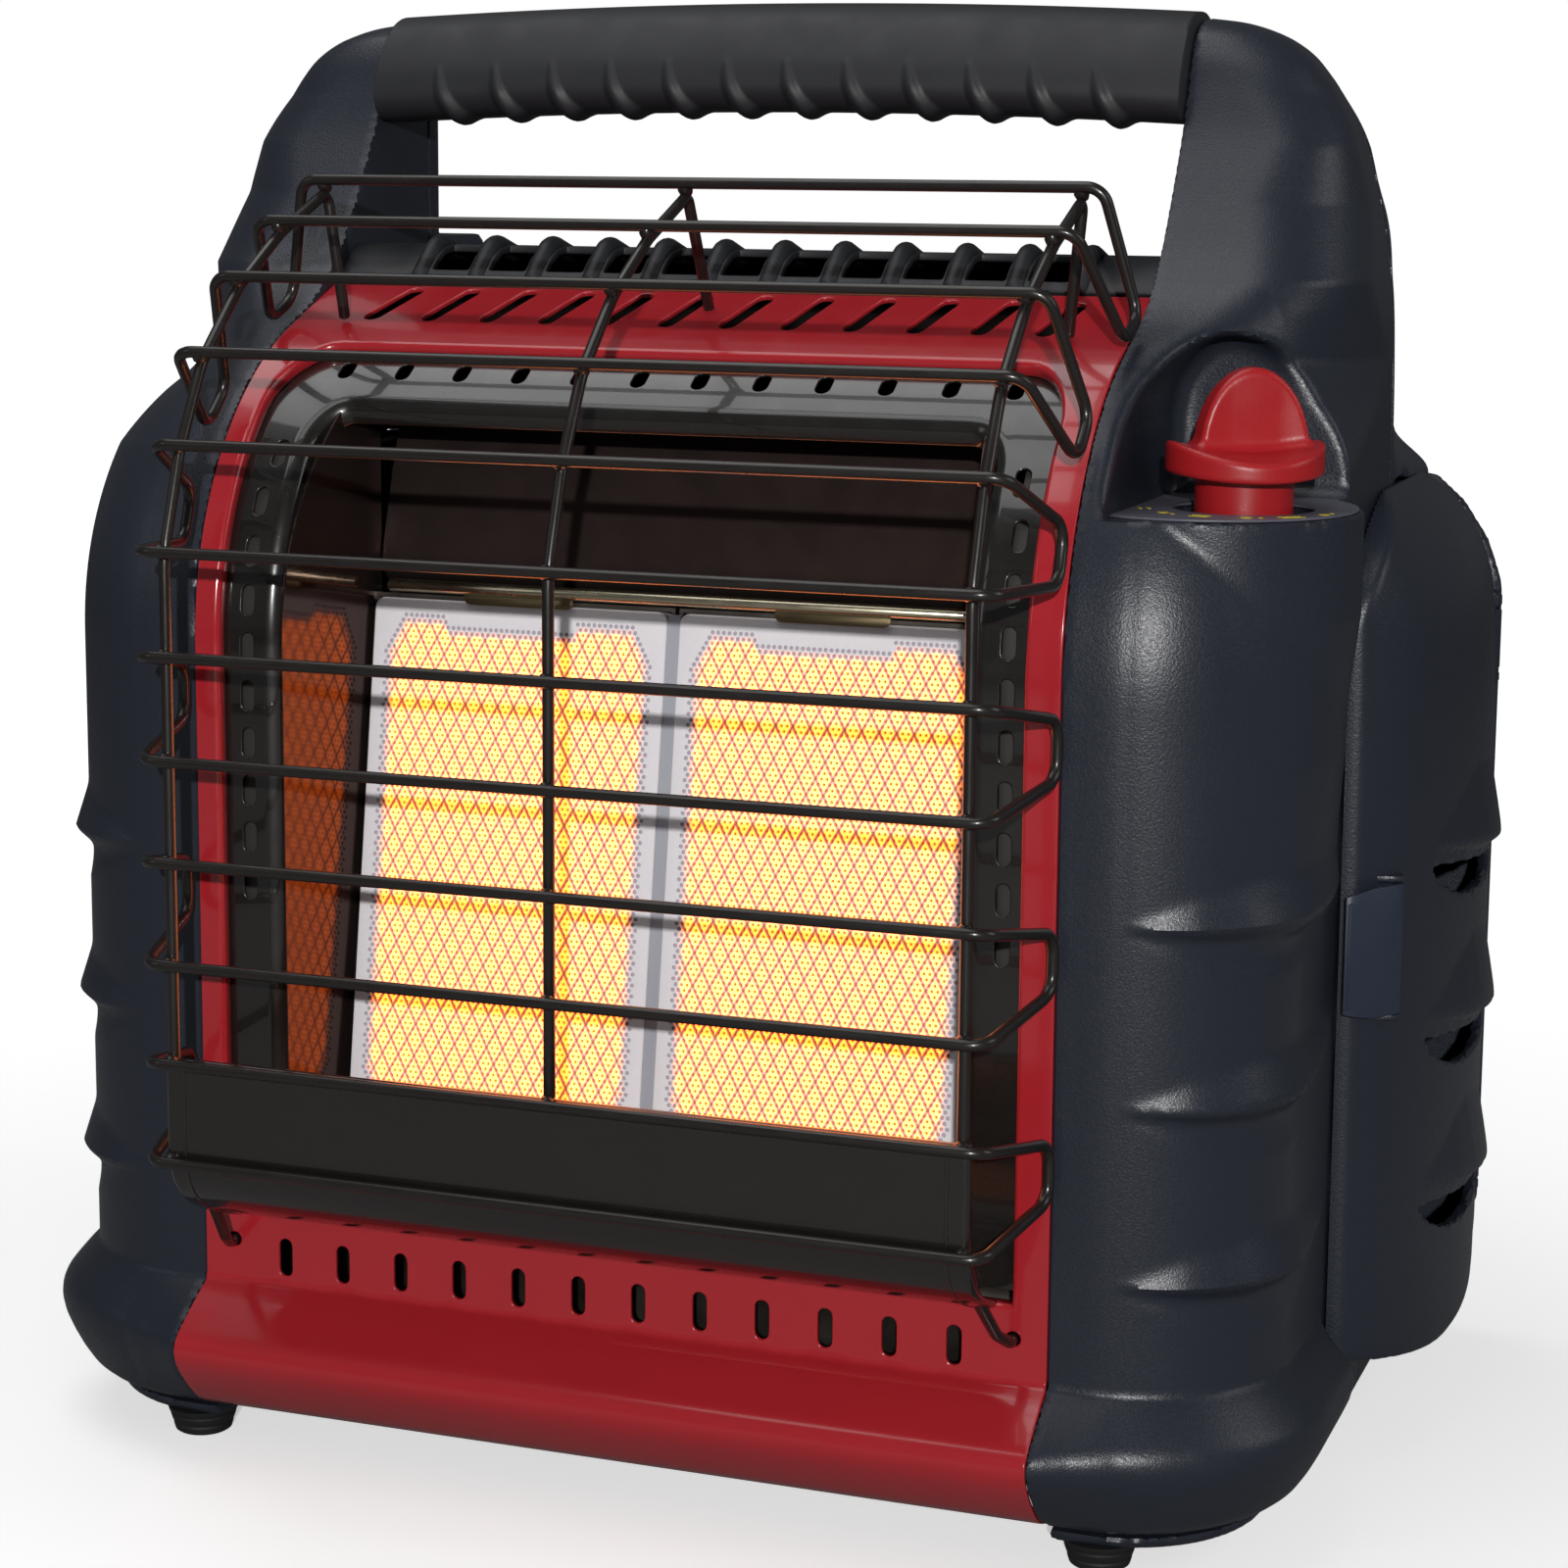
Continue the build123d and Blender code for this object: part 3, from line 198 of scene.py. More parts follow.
def surface(name, color, rough, metal=0.0, ior=1.5, var=0.10, vscale=35, rvar=0.05, rscale=90, bump=0.25, bscale=1500, bdist=0.00004, coat=0.0, coat_rough=0.05, dust=None, stretch=None):
    t = Tree(name)
    t.set(Metallic=metal, IOR=ior)
    if coat:
        t.set(Coat_Weight=coat, Coat_Roughness=coat_rough)
    c = t.mix(t.noise(vscale, 3), mul(color, 1 - var), mul(color, 1 + var))
    if dust:
        c = t.mix(t.remap(t.noise(420, 2), 0.66, 0.8, 0.0, 0.5), c, dust)
    t.link(c, t.b.inputs["Base Color"])
    t.link(t.remap(t.noise(rscale, 2, stretch=stretch), 0.3, 0.7, max(rough - rvar, 0.02), min(rough + rvar, 1)), t.b.inputs["Roughness"])
    if bump:
        t.bump(t.noise(bscale, 2, 0.6, stretch=stretch), bump, bdist)
    return t.m


def housing_material():
    t = Tree("housing_plastic")
    t.set(IOR=1.5)
    c = t.mix(t.noise(9, 2), (0.0148, 0.0186, 0.0290), (0.0192, 0.0236, 0.0350))
    t.link(c, t.b.inputs["Base Color"])
    fine = t.noise(1500, 2, 0.65)
    t.link(t.remap(fine, 0.3, 0.7, 0.27, 0.43), t.b.inputs["Roughness"])
    t.bump(fine, 0.75, 0.00014)
    return t.m


M = {
    "housing": housing_material(),
    "grip": surface("grip_plastic", (0.0125, 0.0136, 0.0165), 0.54, bump=0.5, bscale=1500, bdist=0.0001),
    "red": surface("red_enamel", (0.42, 0.018, 0.026), 0.20, var=0.04, bump=0.10, bscale=420, bdist=0.00005, coat=0.6, coat_rough=0.06, rvar=0.03),
    "guard": surface("guard_black", (0.0125, 0.0098, 0.0084), 0.32, bump=0.25, bscale=900, bdist=0.00005, coat=0.3, coat_rough=0.15),
    "enamel": surface("black_enamel", (0.0095, 0.0085, 0.0075), 0.27, bump=0.25, bscale=140, bdist=0.00012, coat=0.9, coat_rough=0.04),
    "steel": surface("heat_steel", (0.20, 0.175, 0.155), 0.34, metal=1.0, var=0.25, vscale=25),
    "brass": surface("brass", (0.50, 0.44, 0.30), 0.26, metal=1.0, var=0.18, vscale=60, stretch=(1, 12, 12)),
    "bronze": surface("bronze_clip", (0.17, 0.135, 0.075), 0.42, metal=1.0, var=0.22, vscale=80),
    "aluminium": surface("aluminium", (0.60, 0.60, 0.61), 0.32, metal=1.0, var=0.08),
    "zinc": surface("zinc_casting", (0.42, 0.43, 0.45), 0.45, metal=1.0, var=0.10, bump=0.4, bscale=700, bdist=0.0001),
    "plain": surface("plain_steel", (0.48, 0.48, 0.49), 0.30, metal=1.0, var=0.08),
    "knob": surface("knob_red", (0.40, 0.012, 0.016), 0.34, var=0.05, bump=0.40, bscale=1300, bdist=0.00007),
    "dial": surface("dial_grey", (0.105, 0.105, 0.135), 0.42, var=0.06, bump=0.2, bscale=1200),
    "mark": surface("dial_mark", (0.62, 0.50, 0.02), 0.45, var=0.05),
    "rubber": surface("rubber", (0.012, 0.012, 0.013), 0.62, bump=0.5, bscale=900, bdist=0.0001),
    "black": surface("black_plastic", (0.012, 0.012, 0.014), 0.42, bump=0.4, bscale=1300, bdist=0.00008),
    "white": surface("ceramic_white", (0.62, 0.60, 0.60), 0.75, var=0.05, bump=0.3, bscale=900, bdist=0.00008),
}


# dark grey sheet material that paints the shade seen through the surround's oblong holes
M["backing"] = surface("painted_shade_black", (0.030, 0.027, 0.024), 0.55, bump=0.2)
M["rod"] = surface("bright_brass", (0.62, 0.56, 0.40), 0.24, metal=1.0, var=0.06, bump=0.0)
M["latch"] = surface("latch_plastic", (0.0205, 0.0300, 0.0530), 0.46, bump=0.5, bscale=1500, bdist=0.0001)


def reflector_material():
    # oxidised glossy walls beside the tiles; hood and sill nearly matt
    t = Tree("reflector_steel")
    t.set(IOR=1.45, Specular_Tint=(1.0, 0.60, 0.55, 1.0))
    sep = t.add("ShaderNodeSeparateXYZ")
    t.link(t.co, sep.inputs[0])
    ab = t.add("ShaderNodeMath", operation="ABSOLUTE")
    t.link(sep.outputs[0], ab.inputs[0])
    wall = t.remap(ab.outputs[0], 0.0972, 0.0975, 0.0, 1.0)
    n = t.noise(60, 3)
    t.link(t.mix(n, (0.008, 0.0065, 0.006), (0.014, 0.011, 0.010)), t.b.inputs["Base Color"])
    t.link(t.mix(wall, t.remap(t.noise(90, 2), 0.3, 0.7, 0.38, 0.48), (0.075, 0.075, 0.075)), t.b.inputs["Roughness"])
    t.bump(t.noise(55, 2), 0.16, 0.0005)
    return t.m


def tile_material():
    # hot: x, y = position in the diagonal lattice of hole clusters, z = how hot the spot is
    # spot: x = inside a hole (drives the painted shade of the holes and their glow), y = hole on a lattice line, z =
    # depth shade
    t = Tree("ceramic_tile")
    t.set(IOR=1.45, Roughness=0.85)
    hot = t.add("ShaderNodeSeparateColor")
    t.link(t.add("ShaderNodeAttribute", attribute_name="hot").outputs["Color"], hot.inputs[0])
    spot = t.add("ShaderNodeSeparateColor")
    t.link(t.add("ShaderNodeAttribute", attribute_name="spot").outputs["Color"], spot.inputs[0])

    def m(op, x, y=None, clamp=False):
        n = t.add("ShaderNodeMath", operation=op, use_clamp=clamp)
        for sock, v in zip(n.inputs, (x, y)):
            if v is None:
                continue
            if isinstance(v, (int, float)):
                sock.default_value = v
            else:
                t.link(v, sock)
        return n.outputs[0]

    def away(v):
        return m("ABSOLUTE", m("SUBTRACT", m("FRACT", m("ADD", v, 0.5)), 0.5))

    near = m("MINIMUM", away(hot.outputs[0]), away(hot.outputs[1]))
    line = t.remap(near, 0.060, 0.135, 1.0, 0.0)
    h = t.remap(hot.outputs[2], 0.0, 1.0, 0.0, 1.0)
    hole = t.remap(spot.outputs[0], 0.35, 1.0, 0.0, 1.0)
    shade = t.noise(30, 3)
    star = t.mix(shade, (5.0, 0.84, 0.045), (5.8, 0.94, 0.060))
    em = t.mix(line, star, (0.46, 0.080, 0.030))
    em = t.mix(hole, em, t.mix(spot.outputs[1], (0.40, 0.110, 0.010), (0.24, 0.045, 0.028)))
    em = t.mix(h, (0.0, 0.0, 0.0), em)
    t.link(em, t.b.inputs["Emission Color"])
    t.b.inputs["Emission Strength"].default_value = 1.0
    lit = t.mix(line, (0.85, 0.85, 0.55), (0.66, 0.48, 0.46))
    # the holes get a darker base colour than the face around them, in the glowing field and in the cold border alike:
    # painted shade in the perforations, on top of their real depth
    lit = t.mix(hole, lit, t.mix(spot.outputs[1], (0.12, 0.08, 0.05), (0.30, 0.20, 0.18)))
    cold = t.mix(hole, t.mix(t.noise(700, 2), (0.84, 0.81, 0.84), (0.90, 0.87, 0.90)), (0.50, 0.44, 0.50))
    t.link(t.mix(h, cold, lit), t.b.inputs["Base Color"])
    t.bump(t.noise(1100, 2), 0.3, 0.00006)
    return t.m


M["reflector"] = reflector_material()
M["tile"] = tile_material()
M["fibre"] = surface("fibre_packing", (0.40, 0.41, 0.46), 0.9, var=0.05, bump=0.3, bscale=900, bdist=0.00008)


# ------------------------------------------------------------------ mesh helpers
def obj_from(name, V, faces, mat, body, rep=(), ang=38, normals=None, colors=None, sharp=True):
    """V in millimetres, faces a list of index arrays (each array all of one size)."""
    me = bpy.data.meshes.new(name)
    V = W(V)
    me.vertices.add(len(V))
    me.vertices.foreach_set("co", V.astype(np.float32).ravel())
    groups = [np.asarray(f, np.int32) for f in (faces if isinstance(faces, list) else [faces]) if len(f)]
    idx = np.concatenate([g.ravel() for g in groups])
    sizes = np.concatenate([np.full(len(g), g.shape[1], np.int32) for g in groups])
    starts = np.concatenate([[0], np.cumsum(sizes)[:-1]]).astype(np.int32)
    me.loops.add(len(idx))
    me.loops.foreach_set("vertex_index", idx)
    me.polygons.add(len(sizes))
    me.polygons.foreach_set("loop_start", starts)
    me.update(calc_edges=True)
    me.polygons.foreach_set("use_smooth", np.ones(len(sizes), bool))
    if colors:
        for cname, arr in colors.items():
            a = me.color_attributes.new(cname, "FLOAT_COLOR", "POINT")
            a.data.foreach_set("color", np.concatenate([arr, np.ones((len(arr), 1))], 1).astype(np.float32).ravel())
    if normals is not None:
        me.normals_split_custom_set_from_vertices([tuple(map(float, n)) for n in normals])
    elif sharp:
        me.set_sharp_from_angle(angle=math.radians(ang))
    me.materials.append(mat)
    ob = bpy.data.objects.new(name, me)
    bpy.context.scene.collection.objects.link(ob)
    if body is None:
        return ob
    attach(ob, body)
    if rep:
        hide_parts(*rep)
    return ob


def merge(parts):
    """Joins (V, [faces]) pairs into one."""
    V, F, off = [], [], 0
    for v, fs in parts:
        v = np.asarray(v, float)
        V.append(v)
        for f in fs:
            if len(f):
                F.append(np.asarray(f) + off)
        off += len(v)
    return np.concatenate(V), F


def mirror_mesh(v, fs):
    v = np.array(v, float)
    v[:, 0] *= -1
    return v, [np.asarray(f)[:, ::-1] for f in fs]


def arc_pts(cx, cy, r, a0, a1, n):
    return [(cx + r * math.cos(math.radians(a0 + (a1 - a0) * i / n)), cy + r * math.sin(math.radians(a0 + (a1 - a0) * i / n))) for i in range(n + 1)]


def catmull(P, n=6, closed=False):
    P = np.asarray(P, float)
    out = []
    m = len(P)
    rng = range(m) if closed else range(m - 1)
    for i in rng:
        if closed:
            a, b, c, d = P[i - 1], P[i], P[(i + 1) % m], P[(i + 2) % m]
        else:
            b, c = P[i], P[i + 1]
            a = P[i - 1] if i > 0 else 2 * b - c
            d = P[i + 2] if i + 2 < m else 2 * c - b
        # centripetal-like tangents keep uneven spacing smooth
        l0, l1, l2 = (max(np.linalg.norm(q - p), 1e-6) ** 0.5 for p, q in ((a, b), (b, c), (c, d)))
        t1 = ((b - a) / l0 - (c - a) / (l0 + l1) + (c - b) / l1) * l1
        t2 = ((c - b) / l1 - (d - b) / (l1 + l2) + (d - c) / l2) * l1
        for k in range(n):
            s = k / n
            out.append((2 * s**3 - 3 * s**2 + 1) * b + (s**3 - 2 * s**2 + s) * t1 + (-2 * s**3 + 3 * s**2) * c + (s**3 - s**2) * t2)
    if not closed:
        out.append(P[-1])
    return np.array(out)


def fillet(points, radii, seg=8, closed=False):
    P = [np.asarray(p, float) for p in points]
    n = len(P)
    out = [] if closed else [P[0]]
    ids = range(n) if closed else range(1, n - 1)
    for k, i in enumerate(ids):
        p, a, b = P[i], P[i - 1] - P[i], P[(i + 1) % n] - P[i]
        la, lb = np.linalg.norm(a), np.linalg.norm(b)
        ua, ub = a / la, b / lb
        turn = math.pi - math.acos(max(-1, min(1, float(ua @ ub))))
        if turn < 0.02:
            out.append(p)
            continue
        r = radii[k % len(radii)]
        t = min(r * math.tan(turn / 2), 0.49 * la, 0.49 * lb)
        r = t / math.tan(turn / 2)
        mid = (ua + ub) / np.linalg.norm(ua + ub)
        c = p + mid * (r / math.cos(turn / 2))
        s, e = p + ua * t - c, p + ub * t - c
        m = max(2, int(seg * turn / 1.5))
        for j in range(m + 1):
            w = j / m
            out.append(c + (math.sin((1 - w) * turn) * s + math.sin(w * turn) * e) / math.sin(turn))
    if not closed:
        out.append(P[-1])
    return np.array(out)


def sweep(path, r, n=12, closed=False, cap=True):
    path = np.asarray(path, float)
    m = len(path)
    rad = np.full(m, r) if np.isscalar(r) else np.asarray(r, float)
    if closed:
        T = np.roll(path, -1, 0) - np.roll(path, 1, 0)
    else:
        T = np.gradient(path, axis=0)
    T /= np.linalg.norm(T, axis=1)[:, None]
    u = np.cross(T[0], [0.31, 0.12, 0.94])
    u /= np.linalg.norm(u)
    U = [u]
    for i in range(1, m):
        u = U[-1] - T[i] * (U[-1] @ T[i])
        U.append(u / np.linalg.norm(u))
    U = np.array(U)
    Vv = np.cross(T, U)
    if closed:  # spread the twist that is left over
        w = math.atan2(float(U[-1] @ Vv[0]), float(U[-1] @ U[0]))
        a = -w * np.arange(m) / m
        U, Vv = U * np.cos(a)[:, None] + Vv * np.sin(a)[:, None], Vv * np.cos(a)[:, None] - U * np.sin(a)[:, None]
    A = 2 * np.pi * np.arange(n) / n
    V = path[:, None, :] + rad[:, None, None] * (np.cos(A)[None, :, None] * U[:, None, :] + np.sin(A)[None, :, None] * Vv[:, None, :])
    V = V.reshape(-1, 3)
    i = np.arange(m if closed else m - 1)[:, None]
    j = np.arange(n)[None, :]
    i2 = (i + 1) % m
    j2 = (j + 1) % n
    F = np.stack([i * n + j, i * n + j2, i2 * n + j2, i2 * n + j], -1).reshape(-1, 4)
    fs = [F]
    if not closed and cap:
        rings = []
        off = len(V)
        extra = []
        for end, sgn in ((0, -1), (m - 1, 1)):
            prev = end * n
            for k in (0.45, 0.8):
                q = path[end] + sgn * T[end] * rad[end] * 0.5 * math.sin(k * math.pi / 2) + rad[end] * math.cos(k * math.pi / 2) * (np.cos(A)[:, None] * U[end] + np.sin(A)[:, None] * Vv[end])
                cur = off + sum(len(x) for x in extra)
                extra.append(q)
                jj = np.arange(n)
                q4 = np.stack([prev + jj, prev + (jj + 1) % n, cur + (jj + 1) % n, cur + jj], -1)
                rings.append(q4 if sgn > 0 else q4[:, ::-1])
                prev = cur
            rings.append((prev + np.arange(n))[None, :] if sgn > 0 else (prev + np.arange(n))[None, ::-1])
        V = np.concatenate([V] + extra)
        fs += rings
    return V, fs


def lathe(profile, centre, n=40):
    """Closed solid of revolution about a vertical axis; profile is a closed loop of (r, z) that may touch r = 0."""
    V, F = [], []
    prof = list(profile)
    for r, z in prof:
        for k in range(n):
            a = 2 * math.pi * k / n
            V.append((centre[0] + r * math.cos(a), centre[1] + r * math.sin(a), z))
    m = len(prof)
    for i in range(m - 1):
        for k in range(n):
            F.append((i * n + k, i * n + (k + 1) % n, (i + 1) * n + (k + 1) % n, (i + 1) * n + k))
    fs = [np.array(F)]
    fs.append(np.arange(n)[None, ::-1])
    fs.append(((m - 1) * n + np.arange(n))[None, :])
    return np.array(V), fs


# ------------------------------------------------------------------ signed distance shells
def rmax(a, b, r):
    return np.minimum(np.maximum(a, b), -r) + np.sqrt(np.maximum(a + r, 0) ** 2 + np.maximum(b + r, 0) ** 2)


def rmin(a, b, r):
    return -rmax(-a, -b, r)


def smooth(x, a, b):
    t = np.clip((x - a) / (b - a), 0, 1)
    return t * t * (3 - 2 * t)


def poly_sd(poly, A, B):
    P = np.asarray(poly, float)
    best = np.full(A.shape, 1e18)
    inside = np.zeros(A.shape, bool)
    for i in range(len(P)):
        x0, y0 = P[i - 1]
        x1, y1 = P[i]
        dx, dy = x1 - x0, y1 - y0
        L = dx * dx + dy * dy
        if L < 1e-12:
            continue
        t = np.clip(((A - x0) * dx + (B - y0) * dy) / L, 0, 1)
        best = np.minimum(best, (A - x0 - t * dx) ** 2 + (B - y0 - t * dy) ** 2)
        if dy != 0:
            c = ((y0 <= B) & (B < y1)) | ((y1 <= B) & (B < y0))
            inside ^= c & (A < x0 + (B - y0) * dx / dy)
    d = np.sqrt(best)
    return np.where(inside, -d, d)


class Tab:
    def __init__(s, poly, lo, hi, h=0.8):
        s.lo, s.h = lo, h
        a = lo[0] + h * np.arange(int((hi[0] - lo[0]) / h) + 3)
        b = lo[1] + h * np.arange(int((hi[1] - lo[1]) / h) + 3)
        A, B = np.meshgrid(a, b, indexing="ij")
        s.t = poly_sd(poly, A, B)

    def __call__(s, a, b):
        u = np.clip((np.asarray(a, float) - s.lo[0]) / s.h, 0, s.t.shape[0] - 1.001)
        v = np.clip((np.asarray(b, float) - s.lo[1]) / s.h, 0, s.t.shape[1] - 1.001)
        i, j = u.astype(int), v.astype(int)
        fu, fv = u - i, v - j
        return (s.t[i, j] * (1 - fu) + s.t[i + 1, j] * fu) * (1 - fv) + (s.t[i, j + 1] * (1 - fu) + s.t[i + 1, j + 1] * fu) * fv


def nets(f, lo, hi, h, proj=3):
    ax = [lo[k] + h * np.arange(int(math.ceil((hi[k] - lo[k]) / h)) + 1) for k in range(3)]
    shape = tuple(len(a) for a in ax)
    D = np.array(np.broadcast_to(f(ax[0][:, None, None], ax[1][None, :, None], ax[2][None, None, :]), shape), np.float32)
    S = D < 0
    cnt = np.zeros(tuple(n - 1 for n in shape), np.int8)
    for a in (0, 1):
        for b in (0, 1):
            for c in (0, 1):
                cnt += S[a:shape[0] - 1 + a, b:shape[1] - 1 + b, c:shape[2] - 1 + c]
    mixed = (cnt > 0) & (cnt < 8)
    I, J, K = np.nonzero(mixed)
    idx = np.full(mixed.shape, -1, np.int32)
    idx[I, J, K] = np.arange(len(I))
    acc, num = np.zeros((len(I), 3)), np.zeros(len(I))
    corners = [(a, b, c) for a in (0, 1) for b in (0, 1) for c in (0, 1)]
    for p in corners:
        for k in range(3):
            if p[k] == 0:
                q = tuple(1 if i == k else p[i] for i in range(3))
                da = D[I + p[0], J + p[1], K + p[2]].astype(float)
                db = D[I + q[0], J + q[1], K + q[2]].astype(float)
                cr = (da < 0) != (db < 0)
                t = np.where(cr, da / np.where(cr, da - db, 1), 0)
                v = np.tile(np.array(p, float), (len(I), 1))
                v[:, k] = t
                acc[cr] += v[cr]
                num[cr] += 1
    V = np.array(lo, float) + h * (np.stack([I, J, K], 1) + acc / num[:, None])
    quads = []
    sx = S[:-1] != S[1:]
    a, b, c = np.nonzero(sx[:, 1:-1, 1:-1])
    b, c = b + 1, c + 1
    q = np.stack([idx[a, b - 1, c - 1], idx[a, b, c - 1], idx[a, b, c], idx[a, b - 1, c]], 1)
    low = S[a, b, c]
    quads.append(np.where(low[:, None], q, q[:, ::-1]))
    sy = S[:, :-1] != S[:, 1:]
    a, b, c = np.nonzero(sy[1:-1, :, 1:-1])
    a, c = a + 1, c + 1
    q = np.stack([idx[a - 1, b, c - 1], idx[a - 1, b, c], idx[a, b, c], idx[a, b, c - 1]], 1)
    low = S[a, b, c]
    quads.append(np.where(low[:, None], q, q[:, ::-1]))
    sz = S[:, :, :-1] != S[:, :, 1:]
    a, b, c = np.nonzero(sz[1:-1, 1:-1, :])
    a, b = a + 1, b + 1
    q = np.stack([idx[a - 1, b - 1, c], idx[a, b - 1, c], idx[a, b, c], idx[a - 1, b, c]], 1)
    low = S[a, b, c]
    quads.append(np.where(low[:, None], q, q[:, ::-1]))
    F = np.concatenate(quads)
    e = 0.06
    cell = V.copy()
    for _ in range(proj):
        x, y, z = V.T
        d = f(x, y, z)
        g = np.stack([f(x + e, y, z) - f(x - e, y, z), f(x, y + e, z) - f(x, y - e, z), f(x, y, z + e) - f(x, y, z - e)], 1) / (2 * e)
        gg = np.maximum((g ** 2).sum(1), 0.05)
        step = -g * (d / gg)[:, None]
        ln = np.linalg.norm(step, axis=1)
        step *= np.minimum(1, 0.5 * h / np.maximum(ln, 1e-9))[:, None]
        V = V + step
        off = V - cell
        ln = np.linalg.norm(off, axis=1)
        V = cell + off * np.minimum(1, 0.75 * h / np.maximum(ln, 1e-9))[:, None]
    return V, [F]


# profiles of the housing
ARC_C, ARC_R, ARC_Z = 98.0, 98.0, 245.0
s_chain = [(ARC_C - ARC_R * math.cos(math.radians(a)), ARC_Z + ARC_R * math.sin(math.radians(a))) for a in range(0, 61, 3)]
s_up = catmull([s_chain[-1], (62.5, 336.3), (76.0, 342.8), (86.5, 349.8), (96.0, 359.5), (103.5, 369.5), (112.0, 382.5), (120.0, 396.0), (125.5, 408.0), (129.5, 418.0), (134.5, 426.5), (141.0, 432.0), (148.0, 434.2), (156.0, 433.4), (164.0, 428.6), (170.0, 418.5), (175.0, 404.0), (181.0, 388.0), (190.0, 371.0), (202.0, 357.0), (218.0, 345.0), (233.0, 331.0), (244.0, 313.0), (250.0, 290.0), (252.0, 262.0)], 5)
S_POLY = [(0.0, -60.0), (0.0, ARC_Z)] + [tuple(p) for p in s_chain[1:-1]] + [tuple(p) for p in s_up] + [(252.0, -60.0)]
f_up = catmull([(188.0, 290.0), (188.0, 303.0), (187.7, 325.0), (187.0, 345.0), (185.5, 359.0), (183.0, 373.0), (180.0, 385.0), (176.0, 397.0), (171.0, 406.0), (166.0, 413.0), (161.6, 418.0), (156.0, 422.2), (149.0, 425.9), (142.0, 428.6), (130.0, 431.0)], 6)
F_POLY = [(60.0, -60.0), (188.0, -60.0)] + [tuple(p) for p in f_up] + [(60.0, 436.0)]
NICHE = [(137.0, 292.5)] + [tuple(p) for p in catmull([(137.0, 316.0), (138.8, 325.0), (144.0, 333.0), (150.0, 337.5), (156.0, 338.5), (163.0, 336.5), (170.0, 332.5), (177.0, 327.0), (183.0, 319.5), (187.5, 311.0), (190.0, 303.0), (191.0, 292.5)], 5)]
DOOR_S = [(95.0, 32.4), (95.0, 257.0), (98.0, 265.0), (106.0, 274.0), (120.0, 283.5), (140.0, 291.5), (170.0, 297.0), (200.0, 294.5), (222.0, 285.0), (236.0, 266.0), (240.0, 246.0), (240.0, 32.4)]
TS = Tab(S_POLY, (-45, -10), (262, 445))
TF = Tab(F_POLY, (115, -10), (230, 445))
TN = Tab(NICHE, (120, 262), (215, 352), 0.6)
door_round = np.concatenate([[(95.0, 38.2), (95.0, 240.0)], catmull([(95.0, 250.0), (95.6, 258.0), (98.5, 265.5), (106.0, 274.5), (120.0, 283.7), (140.0, 291.5), (170.0, 296.8), (200.0, 294.5), (222.0, 284.5), (235.0, 267.0), (240.0, 246.0)], 5), [(240.0, 27.0), (205.0, 27.0), (172.0, 27.4), (146.0, 30.0), (126.0, 33.0), (110.0, 35.6)]])
TD = Tab(door_round, (80, -10), (255, 312))
FL_Z = [8, 11, 13.4, 15, 18.4, 23.2, 28.2, 33, 37, 40.2, 42.8, 45.4, 48.8, 52, 54.5, 60]
FL_V = [-9, -9, -7, -1.8, 5.5, 11, 15.5, 19, 20.5, 20, 18, 14.5, 9.5, 4.5, 0.0, 0]
FL_Z2 = np.linspace(8, 62, 109)
FL_V2 = np.interp(FL_Z2, FL_Z, FL_V)
FL_V2 = np.convolve(np.pad(FL_V2, 2, mode="edge"), [0.1, 0.24, 0.32, 0.24, 0.1], "valid")


def column_outer(x, y, z, niche):
    d = column_lateral(x, y, z)
    if niche:
        r = np.interp(z, [190, 205, 264, 300], [35, 36.5, 43.5, 43.5])
        pod = rmax(np.hypot(x - 154.5, y - 57.5) - r, z - 292.5, 0.9)
        pod = np.maximum(pod, 136.5 - x)
        pod = np.maximum(pod, 186 - z)
        d = rmin(d, pod, np.interp(z, [225, 270, 292], [12, 1.2, 0.4]))
        nn = rmax(TN(x, z), y - 92.0, 6.0)
        d = rmax(d, -nn, np.interp(z, [292.8, 299], [0.4, 3.0]))
    d = rmax(d, 8.0 - z, 3.0)
    d = rmax(d, np.minimum(((y - 165.0) - 1.17 * (x - 130.0)) / 1.54, (z - 361.0) * 0.7), 1.5)
    return rmax(d, 130.2 - x, 1.2)


def corner_radius(y, z):
    R = np.interp(z, [300, 320, 331, 345, 353, 375, 391, 406, 416, 423], [48, 60, 60, 40, 30, 30, 20, 20, 15, 12])
    back = smooth(y, 148.0, 168.0)
    return R * (1 - back) + np.minimum(R, 26.0) * back


def taper(y, z):
    return 0.17 * np.maximum(y - 158.0, 0.0) * smooth(z, 290.0, 305.0) * (1 - smooth(z, 352.0, 375.0))


